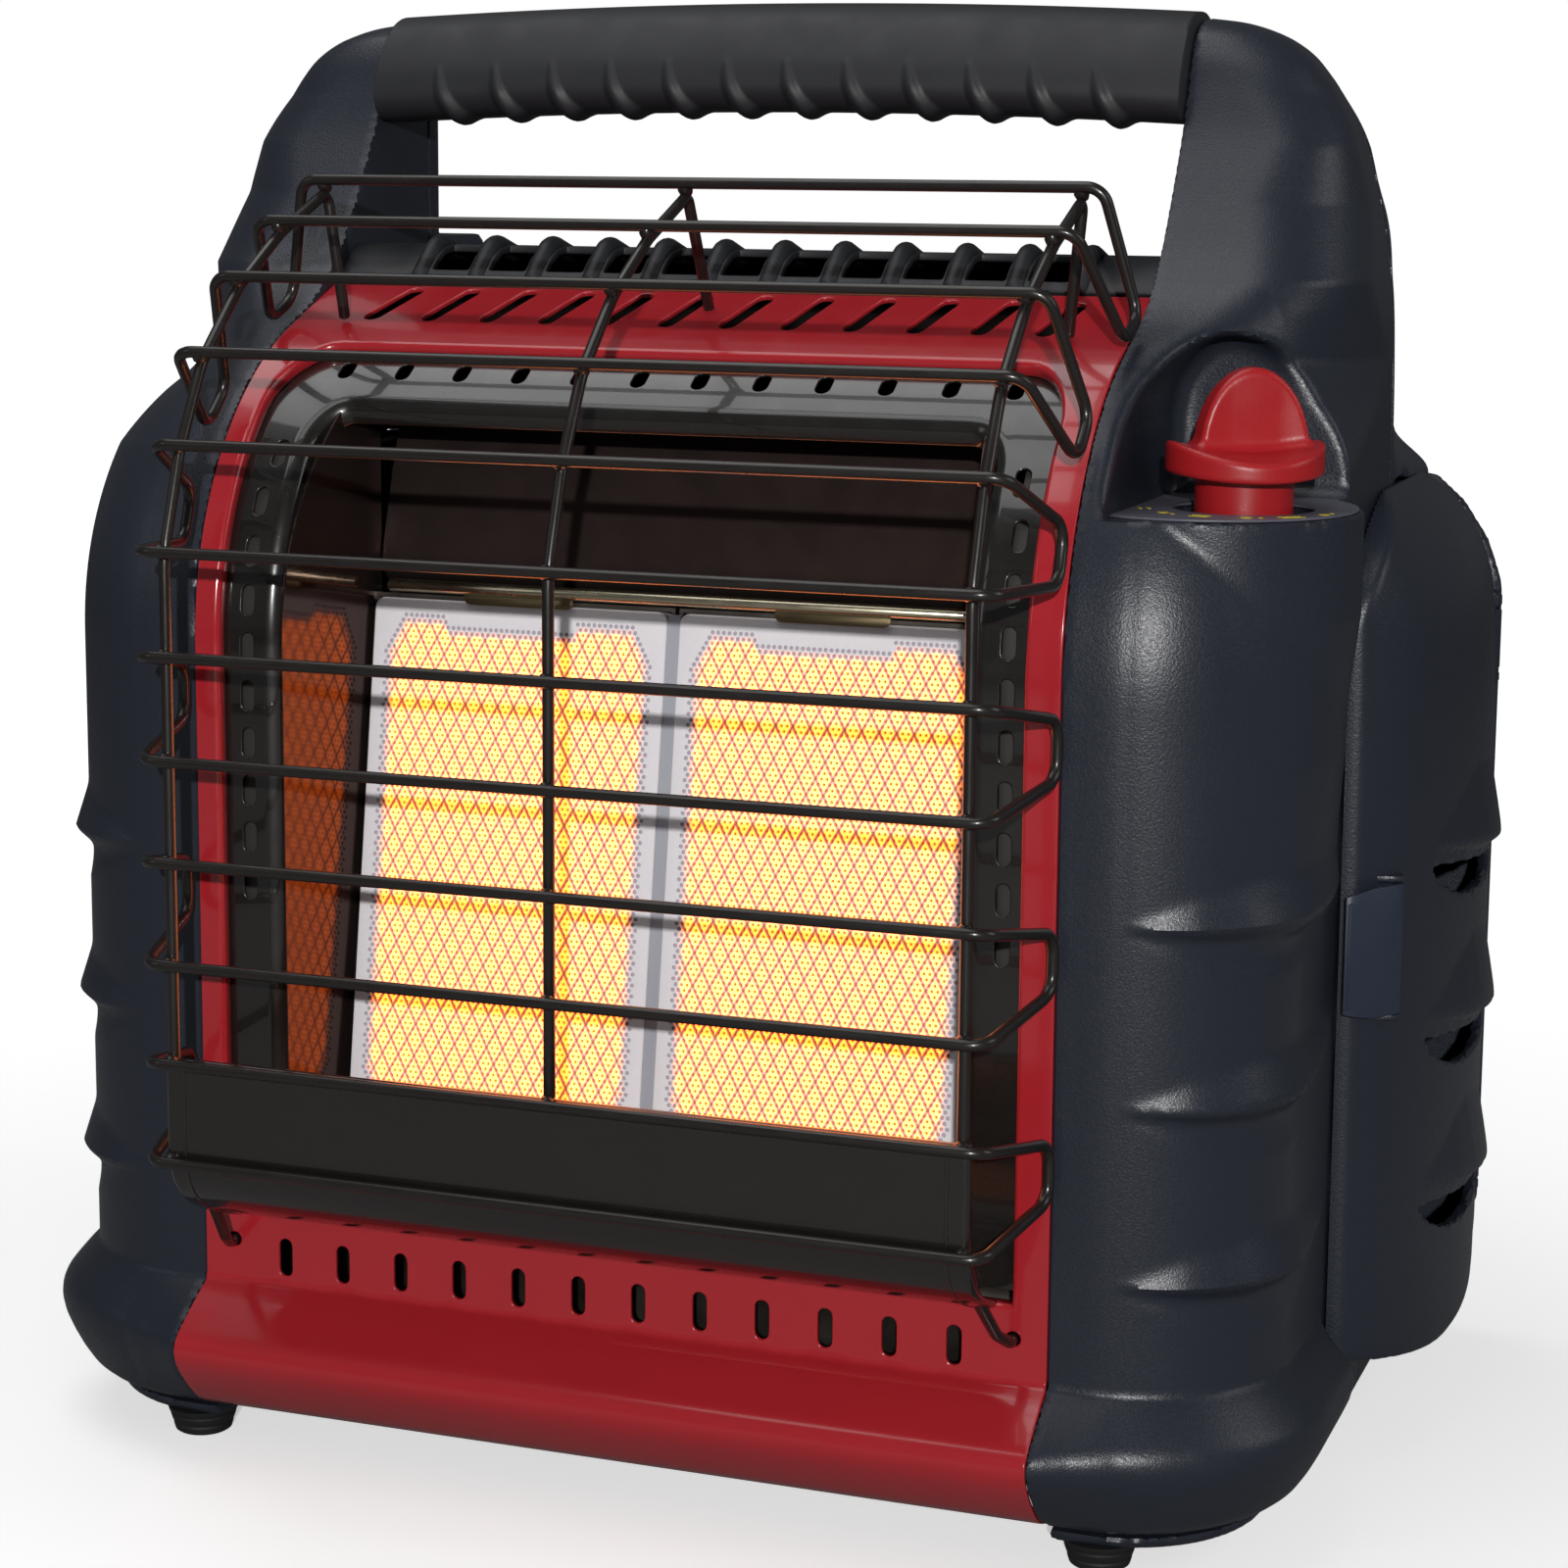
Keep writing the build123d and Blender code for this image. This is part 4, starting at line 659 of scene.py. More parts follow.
def column_lateral(x, y, z):
    d = rmax(TF(x + taper(y, z), z), TS(y, z), corner_radius(y, z))
    th = np.arctan2(np.maximum(x - 140.0, 0), np.maximum(48.0 - y, 1e-6))
    s = np.where(y >= 48.0, 215.4 + (y - 48.0), np.where(x <= 140.0, x, 140.0 + 48.0 * th))
    A = np.interp(s, [147, 156, 168, 188, 214, 234, 250, 258], [0, 0.27, 0.64, 1.0, 1.0, 0.80, 0.34, 0])
    lift = np.interp(s, [205, 258], [0.0, 6.0])
    bump = 0.0
    for zc in (184.5, 134.3, 85.2):
        t = z - zc - lift
        up = 4.2 * A - 0.32 * t
        up = np.where(up < 0.6, np.maximum(up + 0.6, 0) ** 2 / 2.4, up)
        fall = 4.2 * A * (1 - smooth(-t, -0.9, 5.4 * A + 0.8))
        scoop = 1.0 * A * np.sin(np.pi * np.clip(-t / (15.0 * A + 0.5), 0, 1) ** 0.9)
        bump = bump + np.clip(A / 0.10, 0, 1) * (rmin(up, fall, 0.5) - np.where(t < 0, scoop, 0.0))
    P = np.interp(s, [130, 134, 142, 150, 165, 215], [20.5, 18.7, 15, 12.2, 11.5, 12]) / 20.5
    fl = np.interp(z, FL_Z2, FL_V2)
    fl = np.where(fl < 0, 0.7 * fl, fl * P) * (1 - smooth(y, 82.0, 92.0))
    return d - bump - fl


def column_plain(x, y, z, niche):
    """The body without flange and ridges: the wall's inner face follows it."""
    d = rmax(TF(x + taper(y, z), z), TS(y, z), corner_radius(y, z))
    if niche:
        r = np.interp(z, [190, 205, 264, 300], [35, 36.5, 43.5, 43.5])
        pod = np.maximum(np.maximum(np.hypot(x - 154.5, y - 57.5) - r, z - 292.5), np.maximum(136.5 - x, 186 - z))
        d = np.maximum(np.minimum(d, pod), -np.maximum(TN(x, z), y - 92.0))
    d = np.maximum(d, np.minimum(((y - 165.0) - 1.17 * (x - 130.0)) / 1.54, (z - 361.0) * 0.7))
    return np.maximum(np.maximum(d, 8.0 - z), 130.2 - x)


def column_shell(x, y, z, niche):
    dO = column_outer(x, y, z, niche)
    d = np.maximum(dO, -(column_plain(x, y, z, niche) + 3.5))
    if niche:
        d = np.maximum(d, -np.maximum(np.hypot(x - 166.5, y - 52.0) - 19.5, np.abs(z - 290.0) - 12.0))
    side = np.maximum(np.maximum(x - 133.8, np.abs(y - 126.0) - 122.0), np.abs(z - 178.5) - 166.5)
    if niche:
        side = np.maximum(side, np.where(y < 99, z - 280.5, -1e3))
    # the wall stays whole behind the front and top faces
    side = np.maximum(side, TS(y, z) + 3.5)
    d = np.maximum(d, -side)
    bay = np.maximum(np.maximum(x - 184.9, np.abs(y - 170.0) - 71.8), np.abs(z - 151.5) - 138.7)
    d = np.maximum(d, -bay)
    return np.maximum(d, -np.maximum(TD(y, z) + 5.0, 183.0 - x))


H1 = 1.6
rv, rf = nets(lambda x, y, z: rmax(column_shell(x, y, z, True), y - 156.8, 0.5), (126.4, -27, 3.3), (204, 160, 437), H1)
obj_from("right_housing", rv, rf, M["housing"], "housing", ["right_side_shell"])
lv, lf = mirror_mesh(*nets(lambda x, y, z: rmax(column_shell(x, y, z, False), y - 156.8, 0.5), (126.4, -27, 3.3), (204, 160, 437), H1))
obj_from("left_housing", lv, lf, M["housing"], "housing", ["left_side_shell"])

def rear_half():
    """Rear half of a housing with the back plate, the hinge ears and the screw seats."""
    plate = Tab([(150, 249), (150, 252), (205, 252), (209, 249.5), (210, 246.2), (208, 244.2), (180, 244.2), (180, 249)], (140, 236), (222, 262), 0.5)
    outline = Tab([(140.0, 8.0), (184.0, 8.0), (188.0, 12.0), (189.0, 30.0), (197.0, 36.0), (206.0, 40.0), (212.0, 50.0), (212.0, 236.0), (210.0, 252.0), (204.0, 267.0), (196.0, 279.0), (187.0, 287.0), (140.0, 294.0)], (120, -10), (232, 310))

    def f(x, y, z):
        d = rmax(column_shell(x, y, z, False), 157.15 - y, 0.5)
        d = rmin(d, rmax(plate(x, y), outline(x, z), 0.8), 0.6)
        for z0, z1 in ((52.0, 56.0), (76.3, 80.3), (222.0, 226.0), (246.3, 250.3)):
            band = np.maximum(z0 - z, z - z1)
            ear = np.minimum(np.hypot(x - 207.5, y - 236.5) - 4.0, np.maximum(np.abs(x - 206.75) - 3.25, np.abs(y - 240.9) - 4.4))
            d = np.minimum(d, np.maximum(ear, band))
        d = np.maximum(d, 2.0 - np.hypot(x - 207.5, y - 236.5))
        for zc in (30.0, 150.0, 275.0):
            d = np.maximum(d, -np.maximum(np.hypot(x - 132.0, z - zc) - 3.2, 250.5 - y))
        return np.maximum(d, y - 251.95)

    return nets(f, (126.4, 153.9, 3.3), (216, 255.5, 437), 1.8)


bv, bf = rear_half()


# tank doors: one bulged height field, hooded ridges with a vent under each
plan_y = np.array([94.9, 95.4, 99.5, 105.5, 113.5, 123.5, 136.0, 152.0, 168.0, 180.0, 194.0, 207.0, 220.0, 232.0, 240.0])
plan_x = np.array([190.0, 192.6, 197.0, 201.5, 206.0, 210.0, 213.5, 216.3, 217.5, 217.3, 216.2, 214.5, 212.6, 210.9, 210.2])
front = catmull([(188.0, 26.8), (208.0, 27.1), (213.6, 28.8), (216.5, 33.0), (217.4, 40.0), (217.5, 54.0), (217.5, 90.0), (217.5, 224.0), (216.9, 238.0), (215.8, 249.0), (213.3, 260.0), (208.5, 270.7), (202.6, 279.0), (195.5, 287.0), (188.0, 292.5), (180.0, 297.0)], 5)


plan = catmull(np.column_stack([plan_x, plan_y]), 6)
plan[:, 1] = np.maximum.accumulate(plan[:, 1] + 1e-6 * np.arange(len(plan)))


def door_outer(x, y, z):
    px = np.interp(y, plan[:, 1], plan[:, 0])
    fx = np.interp(z, front[:, 1], front[:, 0])
    xo = 188.0 + (px - 188.0) * (fx - 188.0) / 29.5
    bump = 0.0
    for zc in (180.2, 127.8, 76.6):
        t = z - (zc - 0.10 * (y - 150.0) + 5.8)
        hh = np.interp(y, [120, 128, 138, 150, 162, 178, 192, 206, 214], [0, 0.5, 1.7, 3.2, 4.1, 4.1, 3.9, 2.4, 0])
        q = np.where(t > 0, 0.19 * t, -1.3 * t)
        bump = np.maximum(bump, hh - np.sqrt(q * q + 0.30) + 0.4)
    xo = xo + np.maximum(bump, 0)
    xo = np.minimum(xo, 221.6)
    d = (x - xo) * 0.80
    return rmax(d, TD(y, z), 1.3)


def door_shell(x, y, z):
    dO = door_outer(x, y, z)
    d = np.maximum(dO, -(dO + 2.7))
    d = np.maximum(d, 188.4 - x)
    for zc in (180.2, 127.8, 76.6):
        # slot with a flat top under the hood, a pointed front end and a curved bottom
        w = np.interp(y, [124, 127, 132, 139, 148, 158, 168, 184, 198, 206, 210], [0.0, 3.5, 6.0, 8.2, 9.6, 9.6, 9.0, 8.0, 6.2, 3.4, 0.0])
        tilt = (y - 150.0) * -0.10
        slot = np.maximum(np.maximum(z - zc - tilt, zc + tilt - w - z), np.maximum(124 - y, y - 210))
        d = np.maximum(d, -np.maximum(slot, 196 - x))
    for z0, z1 in ((51.5, 56.5), (75.8, 80.8), (221.5, 226.5), (245.8, 250.8)):
        ear = np.maximum(np.abs(x - 208.3) - 7.3, np.maximum(230.7 - y, np.maximum(z0 - z, z - z1)))
        d = np.maximum(d, -ear)
    return d


def knuckles():
    parts = []
    for z0, z1 in ((56.5, 75.8), (226.5, 245.8)):
        n = 28
        a = np.linspace(0, 2 * np.pi, n, endpoint=False)
        ro, ri = 4.0, 2.05
        rings = []
        for r, z in ((ri, z0 + 0.3), (ro - 0.5, z0), (ro, z0 + 0.5), (ro, z1 - 0.5), (ro - 0.5, z1), (ri, z1 - 0.3)):
            rings.append(np.stack([207.5 + r * np.cos(a), 236.5 + r * np.sin(a), np.full(n, z)], 1))
        V = np.concatenate(rings)
        m = len(rings)
        j = np.arange(n)
        F = []
        for i in range(m):
            i2 = (i + 1) % m
            F.append(np.stack([i * n + j, i * n + (j + 1) % n, i2 * n + (j + 1) % n, i2 * n + j], 1))
        parts.append((V, [np.concatenate(F)]))
    return parts


dv, df = nets(door_shell, (185, 91.5, 23.5), (224.5, 243, 300), 1.4)
kn = knuckles()
LATCH_Z0, LATCH_Z1 = 143.0, 181.5


def prism_mesh(poly, z0, z1, bev=0.4):
    """Upright prism with small bevels; poly counter-clockwise seen from above."""
    P = np.asarray(poly, float)
    A = sum(P[i - 1][0] * P[i][1] - P[i][0] * P[i - 1][1] for i in range(len(P)))
    if A < 0:
        P = P[::-1]
    n = len(P)
    e1, e2 = P - np.roll(P, 1, 0), np.roll(P, -1, 0) - P
    n1 = np.stack([e1[:, 1], -e1[:, 0]], 1) / np.linalg.norm(e1, axis=1)[:, None]
    n2 = np.stack([e2[:, 1], -e2[:, 0]], 1) / np.linalg.norm(e2, axis=1)[:, None]
    k = np.maximum(1 + (n1 * n2).sum(1), 0.4)[:, None]
    off = (n1 + n2) / k
    rings = [(P - off * bev, z0), (P - off * bev * 0.3, z0 + bev * 0.3), (P, z0 + bev), (P, z1 - bev), (P - off * bev * 0.3, z1 - bev * 0.3), (P - off * bev, z1)]
    V = np.concatenate([np.column_stack([q, np.full(n, z)]) for q, z in rings])
    j = np.arange(n)
    F = [np.concatenate([np.stack([i * n + j, i * n + (j + 1) % n, (i + 1) * n + (j + 1) % n, (i + 1) * n + j], 1) for i in range(5)])]
    F.append(j[None, ::-1])
    F.append((5 * n + j)[None, :])
    return V, F


lug_plan = [(198.2, 100.7), (202.2, 101.9), (204.0, 102.3), (205.7, 104.0), (205.3, 105.7), (204.0, 108.2), (201.9, 109.7), (199.4, 104.7)]
lugs = [prism_mesh(lug_plan, LATCH_Z0 - 2.2, LATCH_Z0 - 0.4), prism_mesh(lug_plan, LATCH_Z1 + 0.4, LATCH_Z1 + 2.2)]
dall = merge([(dv, df)] + kn + lugs)
obj_from("right_door_moulding", dall[0], dall[1], M["housing"], "right_tank_door", ["right_tank_door"])
dl = mirror_mesh(*dall)
obj_from("left_door_moulding", dl[0], dl[1], M["housing"], "left_tank_door", ["left_tank_door"])


# ------------------------------------------------------------------ punched and bent sheets
def subdivide(loop, step):
    L = [np.asarray(p, float) for p in loop]
    out = []
    for i in range(len(L)):
        a, b = L[i], L[(i + 1) % len(L)]
        n = max(1, int(math.ceil(np.linalg.norm(b - a) / step)))
        out += [a + (b - a) * k / n for k in range(n)]
    return np.array(out)


def orient(loop, ccw):
    P = np.asarray(loop, float)
    A = float(np.sum(P[:, 0] * np.roll(P[:, 1], -1) - np.roll(P[:, 0], -1) * P[:, 1]))
    return P if (A > 0) == ccw else P[::-1]


def punched_rim(T, r=0.45):
    return [(0, 0)] + [(r * math.sin(a), r * (1 - math.cos(a))) for a in (0.5, 1.05, math.pi / 2)] + [(r, T - r)] + [(r * math.cos(a), T - r + r * math.sin(a)) for a in (0.5, 1.05)] + [(0, T)]


def rolled_rim(T, r, depth):
    A = [math.pi / 2 * k / 6 for k in range(7)]
    out = [(r * math.sin(a), r * (1 - math.cos(a))) for a in A] + [(r, depth - 0.3), (r - 0.3, depth)]
    ri = max(r - T, 0.3)
    back = [(r - T + 0.3, depth), (r - T, depth - 0.3)] + [(ri * math.sin(a) + (r - T - ri), T + ri * (1 - math.cos(a))) for a in reversed(A)]
    return out + back[:-1] + [(0, T)]


def in_loops(loops, U, V):
    c = np.zeros(len(U), bool)
    for L in loops:
        P = np.asarray(L)
        for i in range(len(P)):
            x0, y0 = P[i - 1]
            x1, y1 = P[i]
            if y0 == y1:
                continue
            k = ((y0 <= V) & (V < y1)) | ((y1 <= V) & (V < y0))
            c ^= k & (U < x0 + (V - y0) * (x1 - x0) / (y1 - y0))
    return c


def sheet_mesh(outer, holes, fmap, T, grid_u, grid_v, rim_outer, rim_holes, step=4.0):
    """Sheet of thickness T. Loops are in (u, v); fmap gives point, unit u, unit v and outward normal. Returns V, faces, normals."""
    loops = [orient(subdivide(outer, step), True)] + [orient(subdivide(h, step), False) for h in holes]
    rims = [rim_outer] + (rim_holes if rim_holes and isinstance(rim_holes[0], list) else [rim_holes] * len(holes))
    U, Vv = np.meshgrid(grid_u, grid_v, indexing="ij")
    G = np.stack([U.ravel(), Vv.ravel()], 1)
    G = G[in_loops(loops, G[:, 0], G[:, 1])]
    B = np.concatenate(loops)
    gap = 0.45 * min(np.min(np.diff(grid_u)) if len(grid_u) > 1 else 4, np.min(np.diff(grid_v)) if len(grid_v) > 1 else 4, 3.0)
    keep = np.ones(len(G), bool)
    for k in range(0, len(B), 400):
        d = ((G[:, None, :] - B[None, k:k + 400, :]) ** 2).sum(2).min(1)
        keep &= d > gap * gap
    G = G[keep]
    pts = np.concatenate([B, G])
    edges, off = [], 0
    for L in loops:
        n = len(L)
        edges += [(off + i, off + (i + 1) % n) for i in range(n)]
        off += n
    ov, oe, of, oi, _, _ = delaunay_2d_cdt([Vector((float(a), float(b))) for a, b in pts], edges, [], 0, 1e-5)
    back = np.array([o[0] if len(o) else -1 for o in oi])
    assert (back >= 0).all() and len(back) == len(pts), "the sheet outline crosses itself"
    tri = back[np.array([list(f) for f in of])]
    c = pts[tri].mean(1)
    tri = tri[in_loops(loops, c[:, 0], c[:, 1])]
    a, b, d = pts[tri[:, 0]], pts[tri[:, 1]], pts[tri[:, 2]]
    ar = (b[:, 0] - a[:, 0]) * (d[:, 1] - a[:, 1]) - (b[:, 1] - a[:, 1]) * (d[:, 0] - a[:, 0])
    tri[ar < 0] = tri[ar < 0][:, ::-1]
    P, Eu, Ev, Nn = fmap(pts[:, 0], pts[:, 1])
    n0 = len(pts)
    verts, norms = [P, P - T * Nn], [Nn, -Nn]
    faces3, faces4 = [tri, tri[:, ::-1] + n0], []
    base, off = 2 * n0, 0
    for L, rim in zip(loops, rims):
        n = len(L)
        e1, e2 = L - np.roll(L, 1, 0), np.roll(L, -1, 0) - L
        l1, l2 = np.linalg.norm(e1, axis=1)[:, None], np.linalg.norm(e2, axis=1)[:, None]
        m1, m2 = np.stack([e1[:, 1], -e1[:, 0]], 1) / l1, np.stack([e2[:, 1], -e2[:, 0]], 1) / l2
        mm = (m1 + m2) / np.maximum(1 + (m1 * m2).sum(1), 0.5)[:, None]
        ids = np.arange(off, off + n)
        E = mm[:, :1] * Eu[ids] + mm[:, 1:] * Ev[ids]
        Ehat = E / np.linalg.norm(E, axis=1)[:, None]
        prev = ids
        m = len(rim)
        for k in range(1, m):
            if k == m - 1:
                cur = ids + n0
            else:
                t, dn = rim[k]
                verts.append(P[ids] + t * E - dn * Nn[ids])
                d1 = np.array(rim[k]) - np.array(rim[k - 1])
                d2 = np.array(rim[k + 1]) - np.array(rim[k])
                d1, d2 = d1 / max(np.linalg.norm(d1), 1e-9), d2 / max(np.linalg.norm(d2), 1e-9)
                dd = d1 + d2
                dd = dd / max(np.linalg.norm(dd), 1e-9)
                norms.append(dd[1] * Ehat + dd[0] * Nn[ids])
                cur = np.arange(base, base + n)
                base += n
            j, j2 = np.arange(n), (np.arange(n) + 1) % n
            faces4.append(np.stack([prev[j], cur[j], cur[j2], prev[j2]], 1))
            prev = cur
        off += n
    return np.concatenate(verts), [np.concatenate(faces3), np.concatenate(faces4)], np.concatenate(norms)


def bent(profile, bend=0.6):
    """fmap for a sheet bent only in y and z: u is x, v is the length along the profile."""
    P = np.asarray(profile, float)
    d = np.linalg.norm(np.diff(P, axis=0), axis=1)
    s = np.concatenate([[0], np.cumsum(d)])

    def at(v):
        return np.interp(v, s, P[:, 0]), np.interp(v, s, P[:, 1])

    def fmap(u, v):
        y, z = at(v)
        y0, z0 = at(np.clip(v - bend, 0, s[-1]))
        y1, z1 = at(np.clip(v + bend, 0, s[-1]))
        ty, tz = y1 - y0, z1 - z0
        l = np.hypot(ty, tz)
        ty, tz = ty / l, tz / l
        o, w = np.zeros_like(ty), np.ones_like(ty)
        return np.stack([u, y, z], 1), np.stack([w, o, o], 1), np.stack([o, ty, tz], 1), np.stack([o, -tz, ty], 1)

    def length_at(z, after=0.0):
        k = s >= after
        return float(np.interp(z, P[k, 1], s[k]))

    return fmap, s[-1], length_at, s, P


def slot_loop(u, v, w, h, n=7, angle=0.0):
    r = w / 2
    pts = arc_pts(0, h / 2 - r, r, 0, 180, n) + arc_pts(0, -h / 2 + r, r, 180, 360, n)
    ca, sa = math.cos(angle), math.sin(angle)
    return [(u + x * ca - y * sa, v + x * sa + y * ca) for x, y in pts]


def round_rect(x0, x1, z0, z1, r, n=7, corners=(True, True, True, True)):
    out = []
    for (cx, cz, a), on in zip(((x1 - r, z0 + r, -90), (x1 - r, z1 - r, 0), (x0 + r, z1 - r, 90), (x0 + r, z0 + r, 180)), corners):
        if on:
            out += arc_pts(cx, cz, r, a, a + 90, n)
        else:
            out.append((cx + r * (1 if a in (-90, 0) else -1), cz + r * (1 if a in (0, 90) else -1)))
    return out


# red front panel
lip_pts = catmull([(9.0, 13.4), (1.8, 15.0), (-5.5, 18.4), (-11.0, 23.2), (-15.5, 28.2), (-19.0, 33.0), (-20.5, 37.0), (-20.0, 40.2), (-18.0, 42.8), (-14.5, 45.4), (-9.5, 48.8), (-4.5, 52.0), (0.0, 54.5)], 5)
arc_line = [(ARC_C - ARC_R * math.cos(math.radians(a)), ARC_Z + ARC_R * math.sin(math.radians(a))) for a in np.arange(0, 68.01, 1.0)]
panel_profile = np.concatenate([lip_pts, [(0.0, 57.0), (0.0, 70.0), (0.0, 120.0), (0.0, 200.0)], arc_line, [(92.0, 348.2)]])
pmap, plen, pv, ps, pP = bent(panel_profile, 0.7)


def panel():
    holes, rims = [], []
    o = round_rect(-124.4, 121.6, 75.4, 332.0, 16.6, 8, (False, True, True, False))
    holes.append([(x, pv(z, 30)) for x, z in subdivide(o, 6.0)])
    rims.append(rolled_rim(1.5, 1.8, 4.4))
    for i in range(6):
        for sx in (1, -1):
            holes.append(slot_loop(sx * (9.3 + 18.85 * i), pv(63.7, 30), 5.2, 12.4))
            rims.append(punched_rim(1.5))
    slope_v = lambda z: pv(z, 200)
    for i in range(12):
        x0, x1 = -106.8 + 19.16 * i, -99.6 + 19.05 * i
        v0, v1 = slope_v(337.9), slope_v(346.4)
        L = math.hypot(x1 - x0, v1 - v0)
        holes.append(slot_loop((x0 + x1) / 2, (v0 + v1) / 2, 6.2, L + 1.4, 5, -math.atan2(x1 - x0, v1 - v0)))
        rims.append(punched_rim(1.5))
    for sx in (1, -1):
        holes.append(arc_pts(sx * 120.5, pv(67.6, 30), 2.6, 0, 330, 11))
        rims.append(punched_rim(1.5))
    gu = np.arange(-129.7 + 4, 129.7, 8.0)
    gv = [v for v in ps if 0.8 < v < plen - 0.8]
    gv2 = []
    last = -9
    for v in gv:
        if v - last >= 1.6:
            gv2.append(v)
            last = v
    extra = []
    for a, b in zip(gv2, gv2[1:]):
        if b - a > 9:
            k = int((b - a) / 7)
            extra += [a + (b - a) * (i + 1) / (k + 1) for i in range(k)]
    gv2 = np.array(sorted(gv2 + extra))
    outer = [(-129.7, 0.0), (129.7, 0.0), (129.7, plen), (-129.7, plen)]
    # the outline follows every bend of the profile
    side = list(gv2)
    outer = [(-129.7, 0.0)] + [(u, 0.0) for u in gu] + [(129.7, 0.0)] + [(129.7, v) for v in side] + [(129.7, plen)] + [(u, plen) for u in gu[::-1]] + [(-129.7, plen)] + [(-129.7, v) for v in side[::-1]]
    V, F, nn = sheet_mesh(outer, holes, pmap, 1.5, gu, gv2, punched_rim(1.5, 0.5), rims, 7.0)
    obj_from("red_panel", V, F, M["red"], "housing", ["front_panel"], normals=nn)


panel()


def rear_wall():
    line = catmull([(162.0, 357.5), (184.0, 354.5), (202.0, 349.0), (218.0, 341.0), (233.0, 329.0), (244.0, 312.0), (250.0, 290.0), (251.95, 262.0)], 5)
    line = np.concatenate([line, [(251.95, 200.0), (251.95, 100.0), (251.95, 18.0), (249.0, 11.0), (243.0, 8.0)]])
    line[:, 0] = np.minimum(line[:, 0], 251.95)
    fmap, L, va, s, P = bent(line, 0.8)
    s262 = float(s[len(s) - 6])
    v = lambda z: s262 + 262.0 - z
    holes, rims = [], []

    def box_hole(x0, x1, z0, z1, r):
        holes.append([(x, v(z)) for x, z in round_rect(x0, x1, z0, z1, r, 4)])
        rims.append(punched_rim(2.6, 0.5))

    for i in range(9):
        z = 205.0 - 36 + 9 * i
        half = math.sqrt(max(38.0 ** 2 - (z - 205.0) ** 2, 60.0))
        box_hole(-half, half, z - 2.4, z + 2.4, 2.0)
    box_hole(-70.4, 70.4, 23.6, 101.0, 1.0)
    box_hole(78.0, 98.0, 150.0, 164.0, 0.8)
    holes.append([(88.0 + 5.2 * math.cos(a), v(130.0) + 5.2 * math.sin(a)) for a in np.linspace(0, 2 * math.pi, 28, endpoint=False)])
    rims.append(punched_rim(2.6, 0.4))
    for sx in (1, -1):
        for i in range(8):
            z = 262 - 7 * i
            a, b = (84.0, 120.0) if sx > 0 else (-120.0, -84.0)
            box_hole(a, b, z, z + 3.0, 1.3)
    gu = np.arange(-126, 127, 6.0)
    gv = np.concatenate([np.arange(2.5, s262, 3.0), np.arange(s262 + 4, L - 12, 6.0), [L - 8.0, L - 5.0]])
    W2 = 130.15
    outer = [(-W2, 0.0)] + [(u, 0.0) for u in gu] + [(W2, 0.0)] + [(W2, t) for t in gv] + [(W2, L)] + [(u, L) for u in gu[::-1]] + [(-W2, L)] + [(-W2, t) for t in gv[::-1]]
    V, F, nn = sheet_mesh(outer, holes, fmap, 2.6, gu, gv, punched_rim(2.6, 0.5), rims, 6.0)
    return V, F, nn


V, F, nn = rear_wall()
obj_from("rear_wall", V, F, M["housing"], "housing", normals=nn)
V, F = merge([(bv, bf), mirror_mesh(bv, bf)])
obj_from("rear_halves", V, F, M["housing"], "housing", ["rear_shell"])


# ------------------------------------------------------------------ red shoulder profile
def shoulder(z, inset=0.0):
    if z <= ARC_Z:
        return inset
    return ARC_C - math.sqrt(max((ARC_R - inset) ** 2 - (z - ARC_Z) ** 2, 0))


